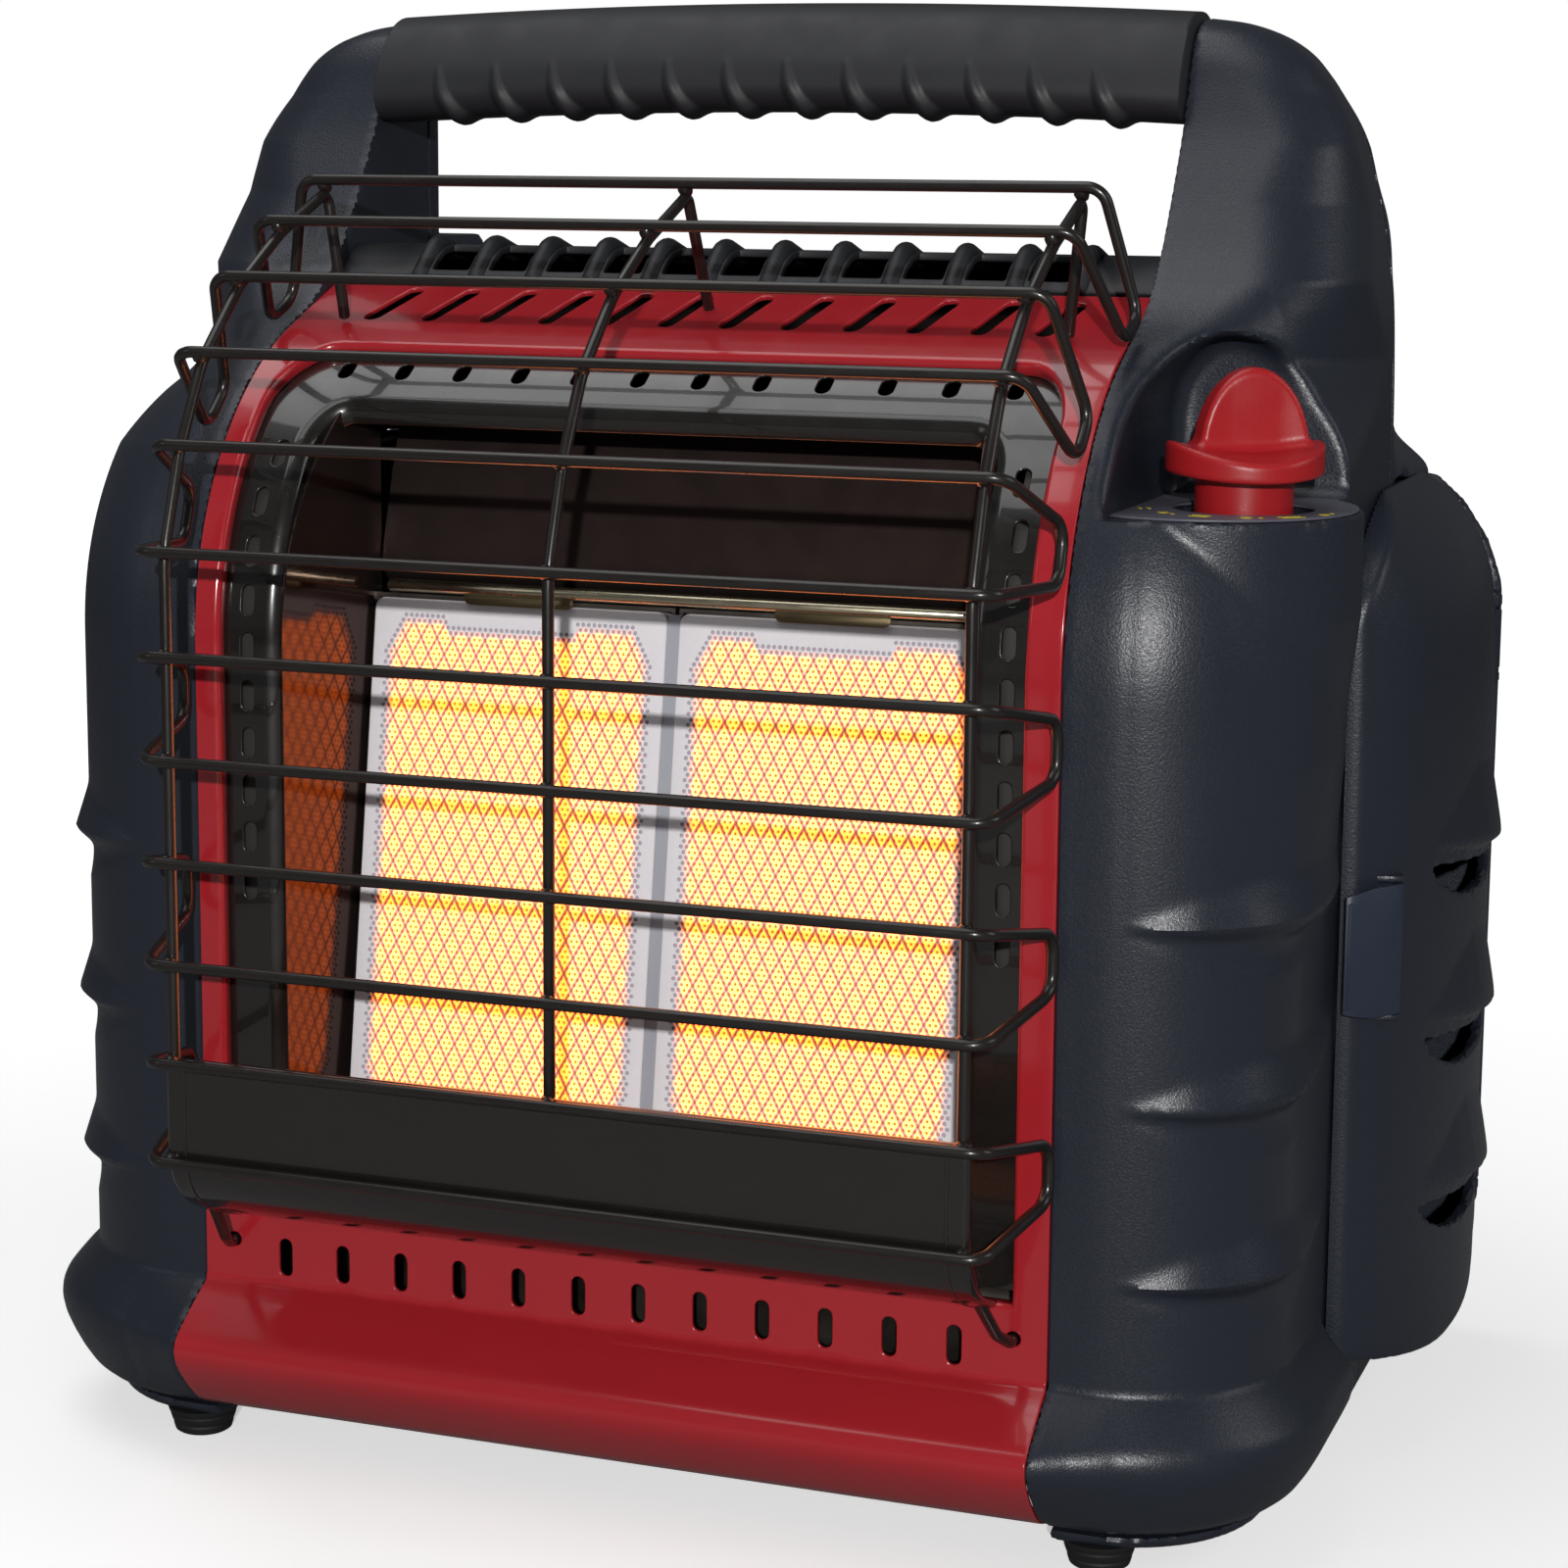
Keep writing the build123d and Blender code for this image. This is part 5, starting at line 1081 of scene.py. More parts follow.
def surround():
    zz = [80.0, 120.0, 180.0] + [ARC_Z + 93.5 * math.sin(math.radians(a)) for a in np.arange(0, 65.01, 1.5)]
    prof = [(shoulder(z, 4.5), z) for z in zz]
    fmap, L, va, s, P = bent(prof, 0.7)
    holes, rims = [], []
    o = round_rect(-110.5, 107.6, 84.5, 317.2, 14.0, 10, (False, True, True, False))
    holes.append([(x, va(z)) for x, z in subdivide(o, 4.0)])
    rims.append(rolled_rim(1.0, 6.0, 6.6))
    for i in range(12):
        holes.append(slot_loop(-104.0 + 18.8 * i, va(323.6), 5.0, 8.6))
        rims.append(punched_rim(1.0, 0.35))
    for sx in (1, -1):
        for z in (300.5, 287.0, 273.0, 259.0, 245.0, 231.0, 217.0, 203.0, 189.0, 175.0):
            holes.append(slot_loop(sx * (115.6 if z < 295 else 113.6) - (1.6 if sx > 0 else 0.0), va(z), 4.8, 9.8))
            rims.append(punched_rim(1.0, 0.35))
    gu = np.arange(-121, 122, 6.0)
    gv = np.array([v for v in np.concatenate([np.arange(4, va(245.0), 8.0), np.arange(va(245.0) + 2.5, L - 1, 2.8)])])
    outer = [(-125.5, 0.0)] + [(u, 0.0) for u in gu] + [(125.5, 0.0)] + [(125.5, v) for v in gv] + [(125.5, L)] + [(u, L) for u in gu[::-1]] + [(-125.5, L)] + [(-125.5, v) for v in gv[::-1]]
    V, F, nn = sheet_mesh(outer, holes, fmap, 1.0, gu, gv, punched_rim(1.0, 0.3), rims, 7.0)
    obj_from("black_surround", V, F, M["enamel"], "housing", ["inner_surround"], normals=nn)
    # dark sheet strips behind the rows of oblong holes: painted shade, standing in for the dark inside seen through
    # them
    parts = []
    fm2, L2, v2, s2, P2 = bent([(shoulder(z, 6.8), z) for z in zz if z > 115 and z < 322], 0.7)
    a, b = v2(165.0), v2(308.0)
    for x0, x1 in ((-125.0, -111.8), (111.8, 125.0)):
        parts.append(sheet_mesh([(x0, a), (x1, a), (x1, b), (x0, b)], [], fm2, 0.6, np.arange(x0 + 2, x1, 3.0), np.arange(a + 3, b, 5.0), punched_rim(0.6, 0.15), [], 4.0)[:2])
    V, F = merge(parts)
    obj_from("surround_painted_shade_strips", V, F, M["backing"], "housing")
    # inner baffle seen through the lower slots
    fm3, L3, v3, s3, P3 = bent([(34.0, 12.0), (33.0, 30.0), (33.0, 66.0), (38.0, 74.0), (44.0, 76.0)], 0.8)
    V, F, nn = sheet_mesh([(-128.4, 0.0), (128.4, 0.0), (128.4, L3), (-128.4, L3)], [], fm3, 0.8, np.arange(-124, 125, 8.0), np.arange(3.0, L3 - 1, 6.0), punched_rim(0.8, 0.2), [], 8.0)
    obj_from("inner_baffle", V, F, M["steel"], "housing", normals=nn)


surround()


def reflector():
    zs = [88.0, 150.0, 200.0, ARC_Z] + [ARC_Z + 92 * math.sin(math.radians(a)) for a in range(3, 50, 3)]
    zs = [z for z in zs if z < 316.0] + [316.0]
    
    def wall_at(x0):
        def wall(u, v):
            o, w = np.zeros_like(u), np.ones_like(u)
            k = 0.1767 + np.clip(250.0 - v, 0, 160) * 0.00068
            y = -u
            x = x0 - (y - 6.0) * k
            flat = np.clip((97.6 - x) / 1.2 + 0.5, 0, 1)
            k = k * (1 - flat)
            x = np.maximum(x, 97.6) + 0.0
            l = np.sqrt(1 + k * k)
            return np.stack([x, y, v], 1), np.stack([k / l, -w / l, o], 1), np.stack([o, o, w], 1), np.stack([-w / l, -k / l, o], 1)
        return wall

    loop = [(-(shoulder(z, 6.0) + 0.6), z) for z in zs] + [(-56.0, 316.0), (-56.0, 88.0)]
    g1, g2 = np.arange(-54, -3, 2.0), np.arange(92, 316, 5.0)
    Va, Fa, na = sheet_mesh(loop, [], wall_at(105.2), 1.0, g1, g2, punched_rim(1.0, 0.2), [], 3.0)
    Vb, Fb, nb = sheet_mesh(loop, [], wall_at(102.4), 1.0, g1, g2, punched_rim(1.0, 0.2), [], 3.0)
    parts, norms = [mirror_mesh(Va, Fa), (Vb, Fb)], [na * np.array([-1.0, 1.0, 1.0]), nb]
    hood = catmull([(63.6, 257.4), (58.0, 261.0), (55.6, 266.5), (57.0, 274.0), (60.0, 284.0), (66.0, 302.0), (69.5, 311.0), (69.0, 315.5), (65.0, 316.9), (52.0, 317.0), (43.5, 317.0)], 5)
    sill = [(10.0, 91.2), (20.0, 92.0), (24.5, 97.5)]
    for line in (hood, sill):
        fmap, L, va, s, P = bent(line, 0.6)
        w = 97.0 if line is hood else 99.5
        gu = np.arange(-92, 93, 8.0)
        gv = np.arange(2.0, L - 1.0, 3.0)
        outer = [(-w, 0.0)] + [(u, 0.0) for u in gu] + [(w, 0.0)] + [(w, v) for v in gv] + [(w, L)] + [(u, L) for u in gu[::-1]] + [(-w, L)] + [(-w, v) for v in gv[::-1]]
        V, F, nn = sheet_mesh(outer, [], fmap, 1.0, gu, gv, punched_rim(1.0, 0.2), [], 7.0)
        parts.append((V, F))
        norms.append(nn)
    V, F = merge(parts)
    obj_from("reflector_sheets", V, F, M["reflector"], "housing", ["reflector_box"], normals=np.concatenate(norms))


reflector()


def lower_plate():
    line = catmull([(-40.2, 131.5), (-40.2, 118.0), (-40.2, 106.0), (-38.8, 98.5), (-34.0, 91.0), (-26.0, 85.5), (-14.0, 80.5), (-2.0, 76.5)], 6)[::-1]
    fmap, L, va, s, P = bent(line, 0.8)
    gu = np.arange(-110, 111, 10.0)
    gv = np.arange(2.0, L - 1, 3.0)
    w = 117.6
    outer = subdivide(round_rect(-w, w, 0.0, L, 13.0, 8, (True, False, False, True)), 3.0)
    V, F, nn = sheet_mesh(outer, [], fmap, 1.1, gu, gv, rolled_rim(1.1, 1.6, 2.4), [], 7.0)
    parts = [(V, F)]
    # end cheeks
    ck = [tuple(p) for p in line[5:]] + [(-33.5, 131.5), (-32.0, 108.0), (-20.0, 96.0), (-8.0, 88.0)]
    ck = orient(subdivide(ck, 3.0), True)
    for sx in (1, -1):
        cu = sx * 113.7

        def cm(u, v, sx=sx, cu=cu):
            o, w1 = np.zeros_like(u), np.ones_like(u)
            P3 = np.stack([np.full_like(u, cu), u, v], 1)
            if sx > 0:
                return P3, np.stack([o, w1, o], 1), np.stack([o, o, w1], 1), np.stack([w1, o, o], 1)
            return np.stack([np.full_like(u, cu), -u, v], 1), np.stack([o, -w1, o], 1), np.stack([o, o, w1], 1), np.stack([-w1, o, o], 1)

        loop = ck if sx > 0 else np.column_stack([-ck[:, 0], ck[:, 1]])
        g = np.arange(-39, -8, 3.5) if sx > 0 else np.arange(9, 40, 3.5)
        v2, f2, n2 = sheet_mesh(loop, [], cm, 1.0, g, np.arange(78, 131, 3.5), punched_rim(1.0, 0.3), [], 5.0)
        parts.append((v2, f2))
        nn = np.concatenate([nn, n2])
    V, F = merge(parts)
    obj_from("lower_guard_sheet", V, F, M["enamel"], "housing", ["lower_guard_plate"], normals=nn)


lower_plate()


# ------------------------------------------------------------------ wire guard
GUARD = [(57.5, 379.4), (29.3, 367.7), (3.4, 352.2), (-18.5, 331.7), (-32.5, 306.7), (-42.5, 277.8),
         (-42.5, 248.5), (-42.5, 219.1), (-42.5, 190.1), (-42.5, 160.7), (-42.5, 132.0), (-42.5, 103.1)]
APEX = [(59.2, 340.7, 132.0), (15.6, 313.7, 130.5), (-2.4, 284.0, 130.2), (-5.0, 233.0, 131.0), (-5.0, 175.4, 131.0), (-5.0, 117.5, 131.0)]
GX = 123.5


def nugget(p, q, r=1.95):
    """Small weld bead between two crossing wires."""
    p, q = np.asarray(p, float), np.asarray(q, float)
    a = q - p
    l = np.linalg.norm(a)
    a /= l
    c = (p + q) / 2
    u = np.cross(a, [1.0, 0, 0])
    u /= np.linalg.norm(u)
    v = np.cross(a, u)
    V, n, m = [], 10, 5
    for i in range(m):
        t = math.pi * (i + 0.5) / m
        for k in range(n):
            b = 2 * math.pi * k / n
            V.append(c + a * (0.62 * l * math.cos(t)) + r * 1.15 * math.sin(t) * math.cos(b) * u + r * 1.15 * math.sin(t) * math.sin(b) * v)
    j = np.arange(n)
    F = [np.concatenate([np.stack([i * n + j, (i + 1) * n + j, (i + 1) * n + (j + 1) % n, i * n + (j + 1) % n], 1) for i in range(m - 1)])]
    F.append(j[None, :])
    F.append(((m - 1) * n + j)[None, ::-1])
    V = np.array(V)
    # outward orientation
    f = F[0][0]
    nn = np.cross(V[f[1]] - V[f[0]], V[f[2]] - V[f[0]])
    if nn @ (V[f[0]] - c) < 0:
        F = [g[:, ::-1] for g in F]
    return V, F


def ring(i):
    (ya, za), (yb, zb) = GUARD[2 * i], GUARD[2 * i + 1]
    py, pz, px = APEX[i]
    l = math.hypot(ya - yb, za - zb)
    uy, uz = (ya - yb) / l, (za - zb) / l
    k = 8.0
    right = [(GX, ya, za), (px, py + k * uy, pz + k * uz), (px, py - k * uy, pz - k * uz), (GX, yb, zb)]
    left = [(-x, y, z) for x, y, z in right[::-1]]
    return sweep(fillet(right + left, [6.0, 6.5, 6.5, 6.0, 6.0, 6.5, 6.5, 6.0], 9, True), 1.68, 12, True)


up_back = [(61.0, 376.0), (31.2, 363.9), (6.3, 349.2), (-15.2, 329.3), (-28.7, 305.4), (-38.4, 277.2)]
cross_pts = [(60.95, 376.0), (31.2, 363.9), (6.3, 349.2), (-15.2, 329.3), (-28.7, 305.4), (-38.4, 277.5)] + [(-38.4, z) for _, z in GUARD[6:10]] + [(-38.4, 132.5), (-37.5, 104.0)]
for name, ids, node in (("upper_rings", range(3), "guard_upper_rings"), ("lower_rings", range(3, 6), "guard_lower_rings")):
    parts = [ring(i) for i in ids]
    for i in ids:
        for k in (2 * i, 2 * i + 1):
            gy, gz = GUARD[k]
            by, bz = cross_pts[k]
            for x in (-117.0, -0.8, 117.0):
                if k == 11 and x == -0.8:
                    continue
                if k == 11:
                    x = math.copysign(117.6, x)
                parts.append(nugget((x, gy, gz), (x, by, bz)))
    V, F = merge(parts)
    obj_from("guard_" + name, V, F, M["guard"], "housing", [node])
ups = []
for x, sx in ((-117.0, -113.0), (117.0, 113.0), (-0.8, -0.8)):
    foot = (78.3, 343.0) if x == -0.8 else (63.4, 338.5)
    pts = [(sx, foot[0], foot[1]), (x, 60.9, 375.9)] + [(x, y, z) for y, z in up_back[1:]]
    if x == -0.8:
        pts += [(x, -38.4, 133.6)]
        V, F = sweep(fillet(pts, [3.0] + [26.0] * (len(pts) - 3), 9), 1.68, 12)
        obj_from("guard_middle_upright", V, F, M["guard"], "housing", ["guard_middle_wire"])
    else:
        s = 1 if x > 0 else -1
        pts += [(x, -38.4, 134.0), (s * 117.4, -37.3, 104.0), (s * 115.5, -23.0, 88.5), (s * 118.5, -9.0, 71.5), (s * 120.5, -3.0, 67.6), (s * 120.5, 4.5, 67.6)]
        ups.append(sweep(fillet(pts, [3.0] + [26.0] * 5 + [30.0, 9.0, 12.0, 6.0, 2.5], 9), 1.68, 12))
V, F = merge(ups)
obj_from("guard_side_uprights", V, F, M["guard"], "housing", ["guard_uprights"])


# ------------------------------------------------------------------ burner tiles
TILT = math.radians(8.31)
TILE_W, TILE_H, TILE_T, TILE_X, TILE_Y, TILE_Z = 94.3, 157.6, 13.0, 49.15, 37.8, 178.0


def on_tile(v):
    """Tile frame (a across, depth into the tile, b up) to the layout."""
    v = np.asarray(v, float)
    c, s = math.cos(TILT), math.sin(TILT)
    y, z = v[:, 1], v[:, 2]
    return np.stack([v[:, 0], TILE_Y + y * c + z * s, TILE_Z - y * s + z * c], 1)


def tile(name, cx, node):
    hw, hh = TILE_W / 2, TILE_H / 2
    px, pz = 1.745, 1.605
    rows = int((TILE_H - 17) / pz)
    V, Q, Hx, glow, base = [], [], [], [], []
    vid = {}

    def region(a, b):
        """Signed inset from the edge of the perforated field."""
        w, h = 43.3, 74.4
        d = min(w - abs(a), h - abs(b))
        d = min(d, ((w - abs(a)) / 5.6 + (h - abs(b)) / 11.0 - 1.0) * 5.0)
        if b > 0 and abs(a + 2.0) < 20.8:
            d = min(d, h - 3.1 - b)
        return d

    cells = []
    for r in range(-int(74.4 / pz) - 1, int(74.4 / pz) + 2):
        for c in range(-27, 28):
            a, b = (c + 0.5 * (r % 2)) * px, r * pz
            d = region(a, b)
            if d > 0:
                cells.append((a, b, d, c, r))
    rc = px / math.sqrt(3)
    key = lambda a, b: (round(a * 50), round(b * 50))

    def corner(a, b):
        k = key(a, b)
        for da in (0, 1, -1):
            for db in (0, 1, -1):
                if (k[0] + da, k[1] + db) in vid:
                    return vid[(k[0] + da, k[1] + db)]
        vid[k] = len(V)
        V.append((a, 0.0, b))
        return vid[k]

    ang = [math.pi / 2 + k * math.pi / 3 for k in range(6)]
    owners = {}
    info = []
    for a, b, d, c, r in cells:
        cs = [corner(a + rc * math.cos(t), b + rc * math.sin(t) * (pz / (rc * 1.5))) for t in ang]
        for k in cs:
            owners.setdefault(k, []).append(len(info))
        info.append((a, b, d, c, r, cs))
    ncorner = len(V)
    nV = len(V)
    tops, bots = [], []
    for a, b, d, c, r, cs in info:
        cold = d < 2.4
        uu, ww = a / (3 * px), b / (3 * pz)
        p, q = uu + 0.5 * ww, uu - 0.5 * ww
        rr = 0.62 if cold else (0.56 if min(abs(p - round(p)), abs(q - round(q))) < 0.17 else 0.50)
        ring_ids = list(range(nV, nV + 6))
        V += [(a + rr * math.cos(t), 0.0, b + rr * math.sin(t)) for t in ang]
        nV += 6
        low_ids = list(range(nV, nV + 6))
        V += [(a + rr * 0.85 * math.cos(t), 0.55 if cold else 1.2, b + rr * 0.85 * math.sin(t)) for t in ang]
        nV += 6
        tops.append(ring_ids)
        bots.append(low_ids)
        for k in range(6):
            k2 = (k + 1) % 6
            Q.append((cs[k], ring_ids[k], ring_ids[k2], cs[k2])[::-1])
            Q.append((ring_ids[k], low_ids[k], low_ids[k2], ring_ids[k2])[::-1])
        Hx.append(tuple(low_ids))
    V = np.array(V)
    # boundary of the perforated field, to join it to the plain border
    cnt = {}
    for q in Q:
        for i in range(4):
            e = (q[i], q[(i + 1) % 4])
            cnt[e] = cnt.get(e, 0) + 1
    nxt = {}
    for (i, j) in cnt:
        if (j, i) not in cnt and i < ncorner and j < ncorner:
            nxt[j] = i
    start = next(iter(nxt))
    loop = [start]
    while nxt[loop[-1]] != start:
        loop.append(nxt[loop[-1]])
    loops_inner = V[loop][:, [0, 2]]
    outer = round_rect(-hw, hw, -hh, hh, 3.2, 5)
    outer = orient(subdivide(outer, 5.0), True)
    LI = orient(loops_inner, False)
    rev = not np.allclose(LI[0], loops_inner[0])
    li = loop[::-1] if rev else loop
    pts = np.concatenate([outer, LI])
    no = len(outer)
    ed = [(i, (i + 1) % no) for i in range(no)] + [(no + i, no + (i + 1) % len(LI)) for i in range(len(LI))]
    ov, oe, of, oi, _, _ = delaunay_2d_cdt([Vector((float(p[0]), float(p[1]))) for p in pts], ed, [], 0, 1e-5)
    bk = np.array([o[0] for o in oi])
    tri = bk[np.array([list(f) for f in of])]
    cc = pts[tri].mean(1)
    tri = tri[in_loops([outer, LI], cc[:, 0], cc[:, 1])]
    A, B, C = pts[tri[:, 0]], pts[tri[:, 1]], pts[tri[:, 2]]
    ar = (B[:, 0] - A[:, 0]) * (C[:, 1] - A[:, 1]) - (B[:, 1] - A[:, 1]) * (C[:, 0] - A[:, 0])
    tri[ar < 0] = tri[ar < 0][:, ::-1]
    # outer ring vertices: rounded front edge, side, back
    base0 = len(V)
    rings = [(0.0, 0.0), (0.35, 0.1), (0.6, 0.45), (0.6, TILE_T - 0.3), (0.3, TILE_T)]
    e1, e2 = outer - np.roll(outer, 1, 0), np.roll(outer, -1, 0) - outer
    m1 = np.stack([e1[:, 1], -e1[:, 0]], 1) / np.linalg.norm(e1, axis=1)[:, None]
    m2 = np.stack([e2[:, 1], -e2[:, 0]], 1) / np.linalg.norm(e2, axis=1)[:, None]
    mm = (m1 + m2) / np.maximum(1 + (m1 * m2).sum(1), 0.5)[:, None]
    add = []
    for t, dep in rings:
        p = outer + mm * (t - 0.6)
        add.append(np.column_stack([p[:, 0], np.full(no, dep), p[:, 1]]))
    V = np.concatenate([V] + add)
    remap_ids = np.concatenate([base0 + np.arange(no), np.array(li)])
    T3 = remap_ids[tri]
    j = np.arange(no)
    side = np.concatenate([np.stack([base0 + i * no + j, base0 + (i + 1) * no + j, base0 + (i + 1) * no + (j + 1) % no, base0 + i * no + (j + 1) % no], 1) for i in range(len(rings) - 1)])
    backface = (base0 + (len(rings) - 1) * no + j)[None, ::-1]
    # the front faces +depth reversed: (a, depth, b) is a left-handed order when mapped, so check one face below
    # where each vertex lies in the lattice, how hot it is and whether it is in a hole
    n = len(V)
    u, w = V[:, 0] / (3 * px), V[:, 2] / (3 * pz)
    hot = np.column_stack([u + 0.5 * w + 40.0, u - 0.5 * w + 40.0, np.zeros(n)])
    spot = np.zeros((n, 3))
    for (a, b, d, c, r, cs), tp, bt in zip(info, tops, bots):
        h = min(1.0, max(0.0, (d - 1.9) / 2.2))
        uu, ww = a / (3 * px), b / (3 * pz)
        p, q = uu + 0.5 * ww, uu - 0.5 * ww
        on = min(abs(p - round(p)), abs(q - round(q))) < 0.17
        hot[tp, 2] = h
        hot[bt, 2] = h
        # x marks the holes, which the tile material gives a darker base colour: painted shade in the perforations
        spot[tp, 0] = 0.62
        spot[bt, 0] = 1.0
        spot[tp, 1] = spot[bt, 1] = 1.0 if on else 0.0
    for k, own in owners.items():
        d = sum(info[o][2] for o in own) / len(own)
        if len(own) == 3:
            hot[k, 2] = min(1.0, max(0.0, (d - 1.9) / 2.2))
    V[:, 0] += 0.0
    P = on_tile(V)
    P[:, 0] += cx
    faces = [np.array(Q), np.array(Hx), T3, side, backface]
    # make every group face outwards: the plain border must look along -depth
    f = T3[0]
    nn = np.cross(P[f[1]] - P[f[0]], P[f[2]] - P[f[0]])
    if nn[1] > 0:
        faces[2] = T3[:, ::-1]
    q = faces[0][0]
    nn = np.cross(P[q[1]] - P[q[0]], P[q[2]] - P[q[0]])
    if nn[1] > 0:
        faces[0] = faces[0][:, ::-1]
    q = faces[1][0]
    nn = np.cross(P[q[1]] - P[q[0]], P[q[2]] - P[q[0]])
    if nn[1] > 0:
        faces[1] = faces[1][:, ::-1]
    q = side[0]
    nn = np.cross(P[q[1]] - P[q[0]], P[q[2]] - P[q[0]])
    mid = P[q].mean(0) - np.array([cx, P[:, 1].mean(), P[:, 2].mean()])
    if nn @ mid < 0:
        faces[3] = side[:, ::-1]
    q = backface[0]
    nn = np.cross(P[q[1]] - P[q[0]], P[q[3]] - P[q[0]])
    if nn[1] < 0:
        faces[4] = backface[:, ::-1]
    obj_from(name, P, faces, M["tile"], "housing", [node], colors={"hot": hot, "spot": spot}, ang=30)


tile("left_tile", -TILE_X, "left_burner_tile")
tile("right_tile", TILE_X, "right_burner_tile")


def tile_gap():
    # ceramic-fibre packing in the gap between the two tiles
    hh = TILE_H / 2 - 0.6
    v, f = prism_mesh([(-1.9, 0.9), (1.9, 0.9), (1.9, 2.9), (-1.9, 2.9)], -hh, hh, 0.2)
    obj_from("tile_gap_packing", on_tile(v), f, M["fibre"], "housing")


tile_gap()


def rod_and_clips():
    v, f = sweep([(-91.4, 49.6, 259.7), (0.0, 49.6, 259.7), (97.0, 49.6, 259.7)], 1.9, 20)
    obj_from("brass_rod", v, f, M["rod"], "housing", ["tile_retainer_rod"])
    hz = TILE_H / 2
    parts = []
    for cx in (-TILE_X, TILE_X):
        tab = [(cx - 17.5, hz + 1.8), (cx - 17.5, hz + 0.4), (cx - 16.6, hz - 0.6), (cx - 15.4, hz - 1.0), (cx + 15.4, hz - 1.0), (cx + 16.6, hz - 0.6), (cx + 17.5, hz + 0.4), (cx + 17.5, hz + 1.8)]
        v, f = prism_mesh(tab, -1.4, -0.25, 0.25)
        v = np.asarray(v)[:, [0, 2, 1]]
        parts.append((on_tile(v), [g[:, ::-1] for g in f]))
        top = [(cx - 17.5, -1.35), (cx + 17.5, -1.35), (cx + 17.5, 17.0), (cx - 17.5, 17.0)]
        v, f = prism_mesh(top, hz + 1.75, hz + 2.7, 0.2)
        parts.append((on_tile(v), f))
    V, F = merge(parts)
    obj_from("bronze_clips", V, F, M["bronze"], "housing", ["tile_clips"])


rod_and_clips()


# ------------------------------------------------------------------ grip
def grip():
    base = catmull([(121.0, 398.6), (117.2, 403.5), (118.0, 410.0), (122.5, 418.5), (128.5, 425.5), (136.5, 429.6), (145.0, 430.6), (153.5, 429.6), (161.0, 424.5), (164.6, 416.5), (164.0, 407.5), (159.0, 401.0), (151.0, 398.2), (136.0, 397.4)], 7, True)
    n = len(base)
    c = base.mean(0)
    t = np.roll(base, -1, 0) - np.roll(base, 1, 0)
    nrm = np.stack([-t[:, 1], t[:, 0]], 1)
    nrm /= np.linalg.norm(nrm, axis=1)[:, None]
    if (nrm * (base - c)).sum() < 0:
        nrm = -nrm
    # ribs start half way up the front, lean to the right and swell into lobes underneath
    front = (base[:, 0] < 152)
    down = np.clip((413.5 - base[:, 1]) / 15.0, 0, 1) * front
    far = np.clip((140.0 - base[:, 0]) / 12.0, 0, 1)
    rise = down ** 1.25 * far * far * (3 - 2 * far)
    start = np.clip(down / 0.10, 0, 1)
    lean = np.where(front, 2.2 * down + 3.6 * down ** 3, 5.8)
    half = 1.5 + 3.2 * down ** 1.6
    amp = (0.32 * start + 2.1 * rise ** 1.6) * far
    X = np.concatenate([[-129.9, -129.5], np.arange(-128.9, 129.0, 0.5), [129.5, 129.9]])
    V = []
    for x in X:
        dz = 3.4 * (1 - (x / 129.9) ** 2)
        h = np.zeros(n)
        for i in range(12):
            dx = (x - (-108.0 + 19.3 * i) - lean) / half
            h = np.maximum(h, np.where(np.abs(dx) < 1, 0.5 + 0.5 * np.cos(np.pi * np.clip(dx, -1, 1)), 0.0) ** 0.6)
        inset = 0.5 if abs(x) > 129.7 else 0.0
        p = base + nrm * (h * amp - inset)[:, None]
        V.append(np.column_stack([np.full(n, x), p[:, 0], p[:, 1] + dz]))
    V = np.concatenate(V)
    m = len(X)
    i, j = np.arange(m - 1)[:, None], np.arange(n)[None, :]
    F = np.stack([i * n + j, i * n + (j + 1) % n, (i + 1) * n + (j + 1) % n, (i + 1) * n + j], -1).reshape(-1, 4)
    nn = np.cross(V[F[0][1]] - V[F[0][0]], V[F[0][2]] - V[F[0][0]])
    if nn[1:] @ (V[F[0][0]][1:] - np.array([c[0], c[1]])) < 0:
        F = F[:, ::-1]
        ends = [np.arange(n)[None, :], ((m - 1) * n + np.arange(n))[None, ::-1]]
    else:
        ends = [np.arange(n)[None, ::-1], ((m - 1) * n + np.arange(n))[None, :]]
    obj_from("ribbed_grip", V, [F] + ends, M["grip"], "housing", ["handle_grip"], ang=50)


grip()


# ------------------------------------------------------------------ ribbed deck under the grip
def top_deck():
    line = catmull([(93.5, 349.8), (96.5, 352.6), (101.0, 356.2), (106.0, 358.7), (112.0, 359.4), (136.0, 358.7), (161.6, 357.6)], 5)
    fmap, L, va, s, P = bent(line, 0.6)
    holes = []
    for i in range(11):
        x = -93.4 + 19.1 * i
        holes.append(round_rect(x - 6.6, x + 6.6, 3.0, 22.0, 1.2, 3))
    for i in range(6):
        v = 43.0 + 5.0 * i
        holes.append(round_rect(-100, 100, v - 1.2, v + 1.2, 1.1, 4))
    gu = np.arange(-125, 126, 10.0)
    gv = np.array([0.9] + list(np.arange(25, 40, 5.0)))
    outer = [(-129.8, 0.0)] + [(u, 0.0) for u in gu] + [(129.8, 0.0)] + [(129.8, v) for v in np.arange(3, L - 1, 3)] + [(129.8, L)] + [(u, L) for u in gu[::-1]] + [(-129.8, L)] + [(-129.8, v) for v in np.arange(3, L - 1, 3)[::-1]]
    V, F, nn = sheet_mesh(outer, holes, fmap, 2.4, gu, gv, punched_rim(2.4, 0.7), punched_rim(2.4, 0.6), 8.0)
    parts = [(V, F)]
    for i in range(12):
        x = -103.0 + 19.1 * i
        path = fillet([(x, 94.0, 349.2), (x, 107.5, 360.6), (x, 122.5, 356.6)], [9.0], 12)
        v, f = sweep(path, 2.9, 16)
        parts.append((v, f))
    V, F = merge(parts)
    obj_from("deck_grille", V, F, M["grip"], "housing", ["top_grille"], ang=50)


top_deck()

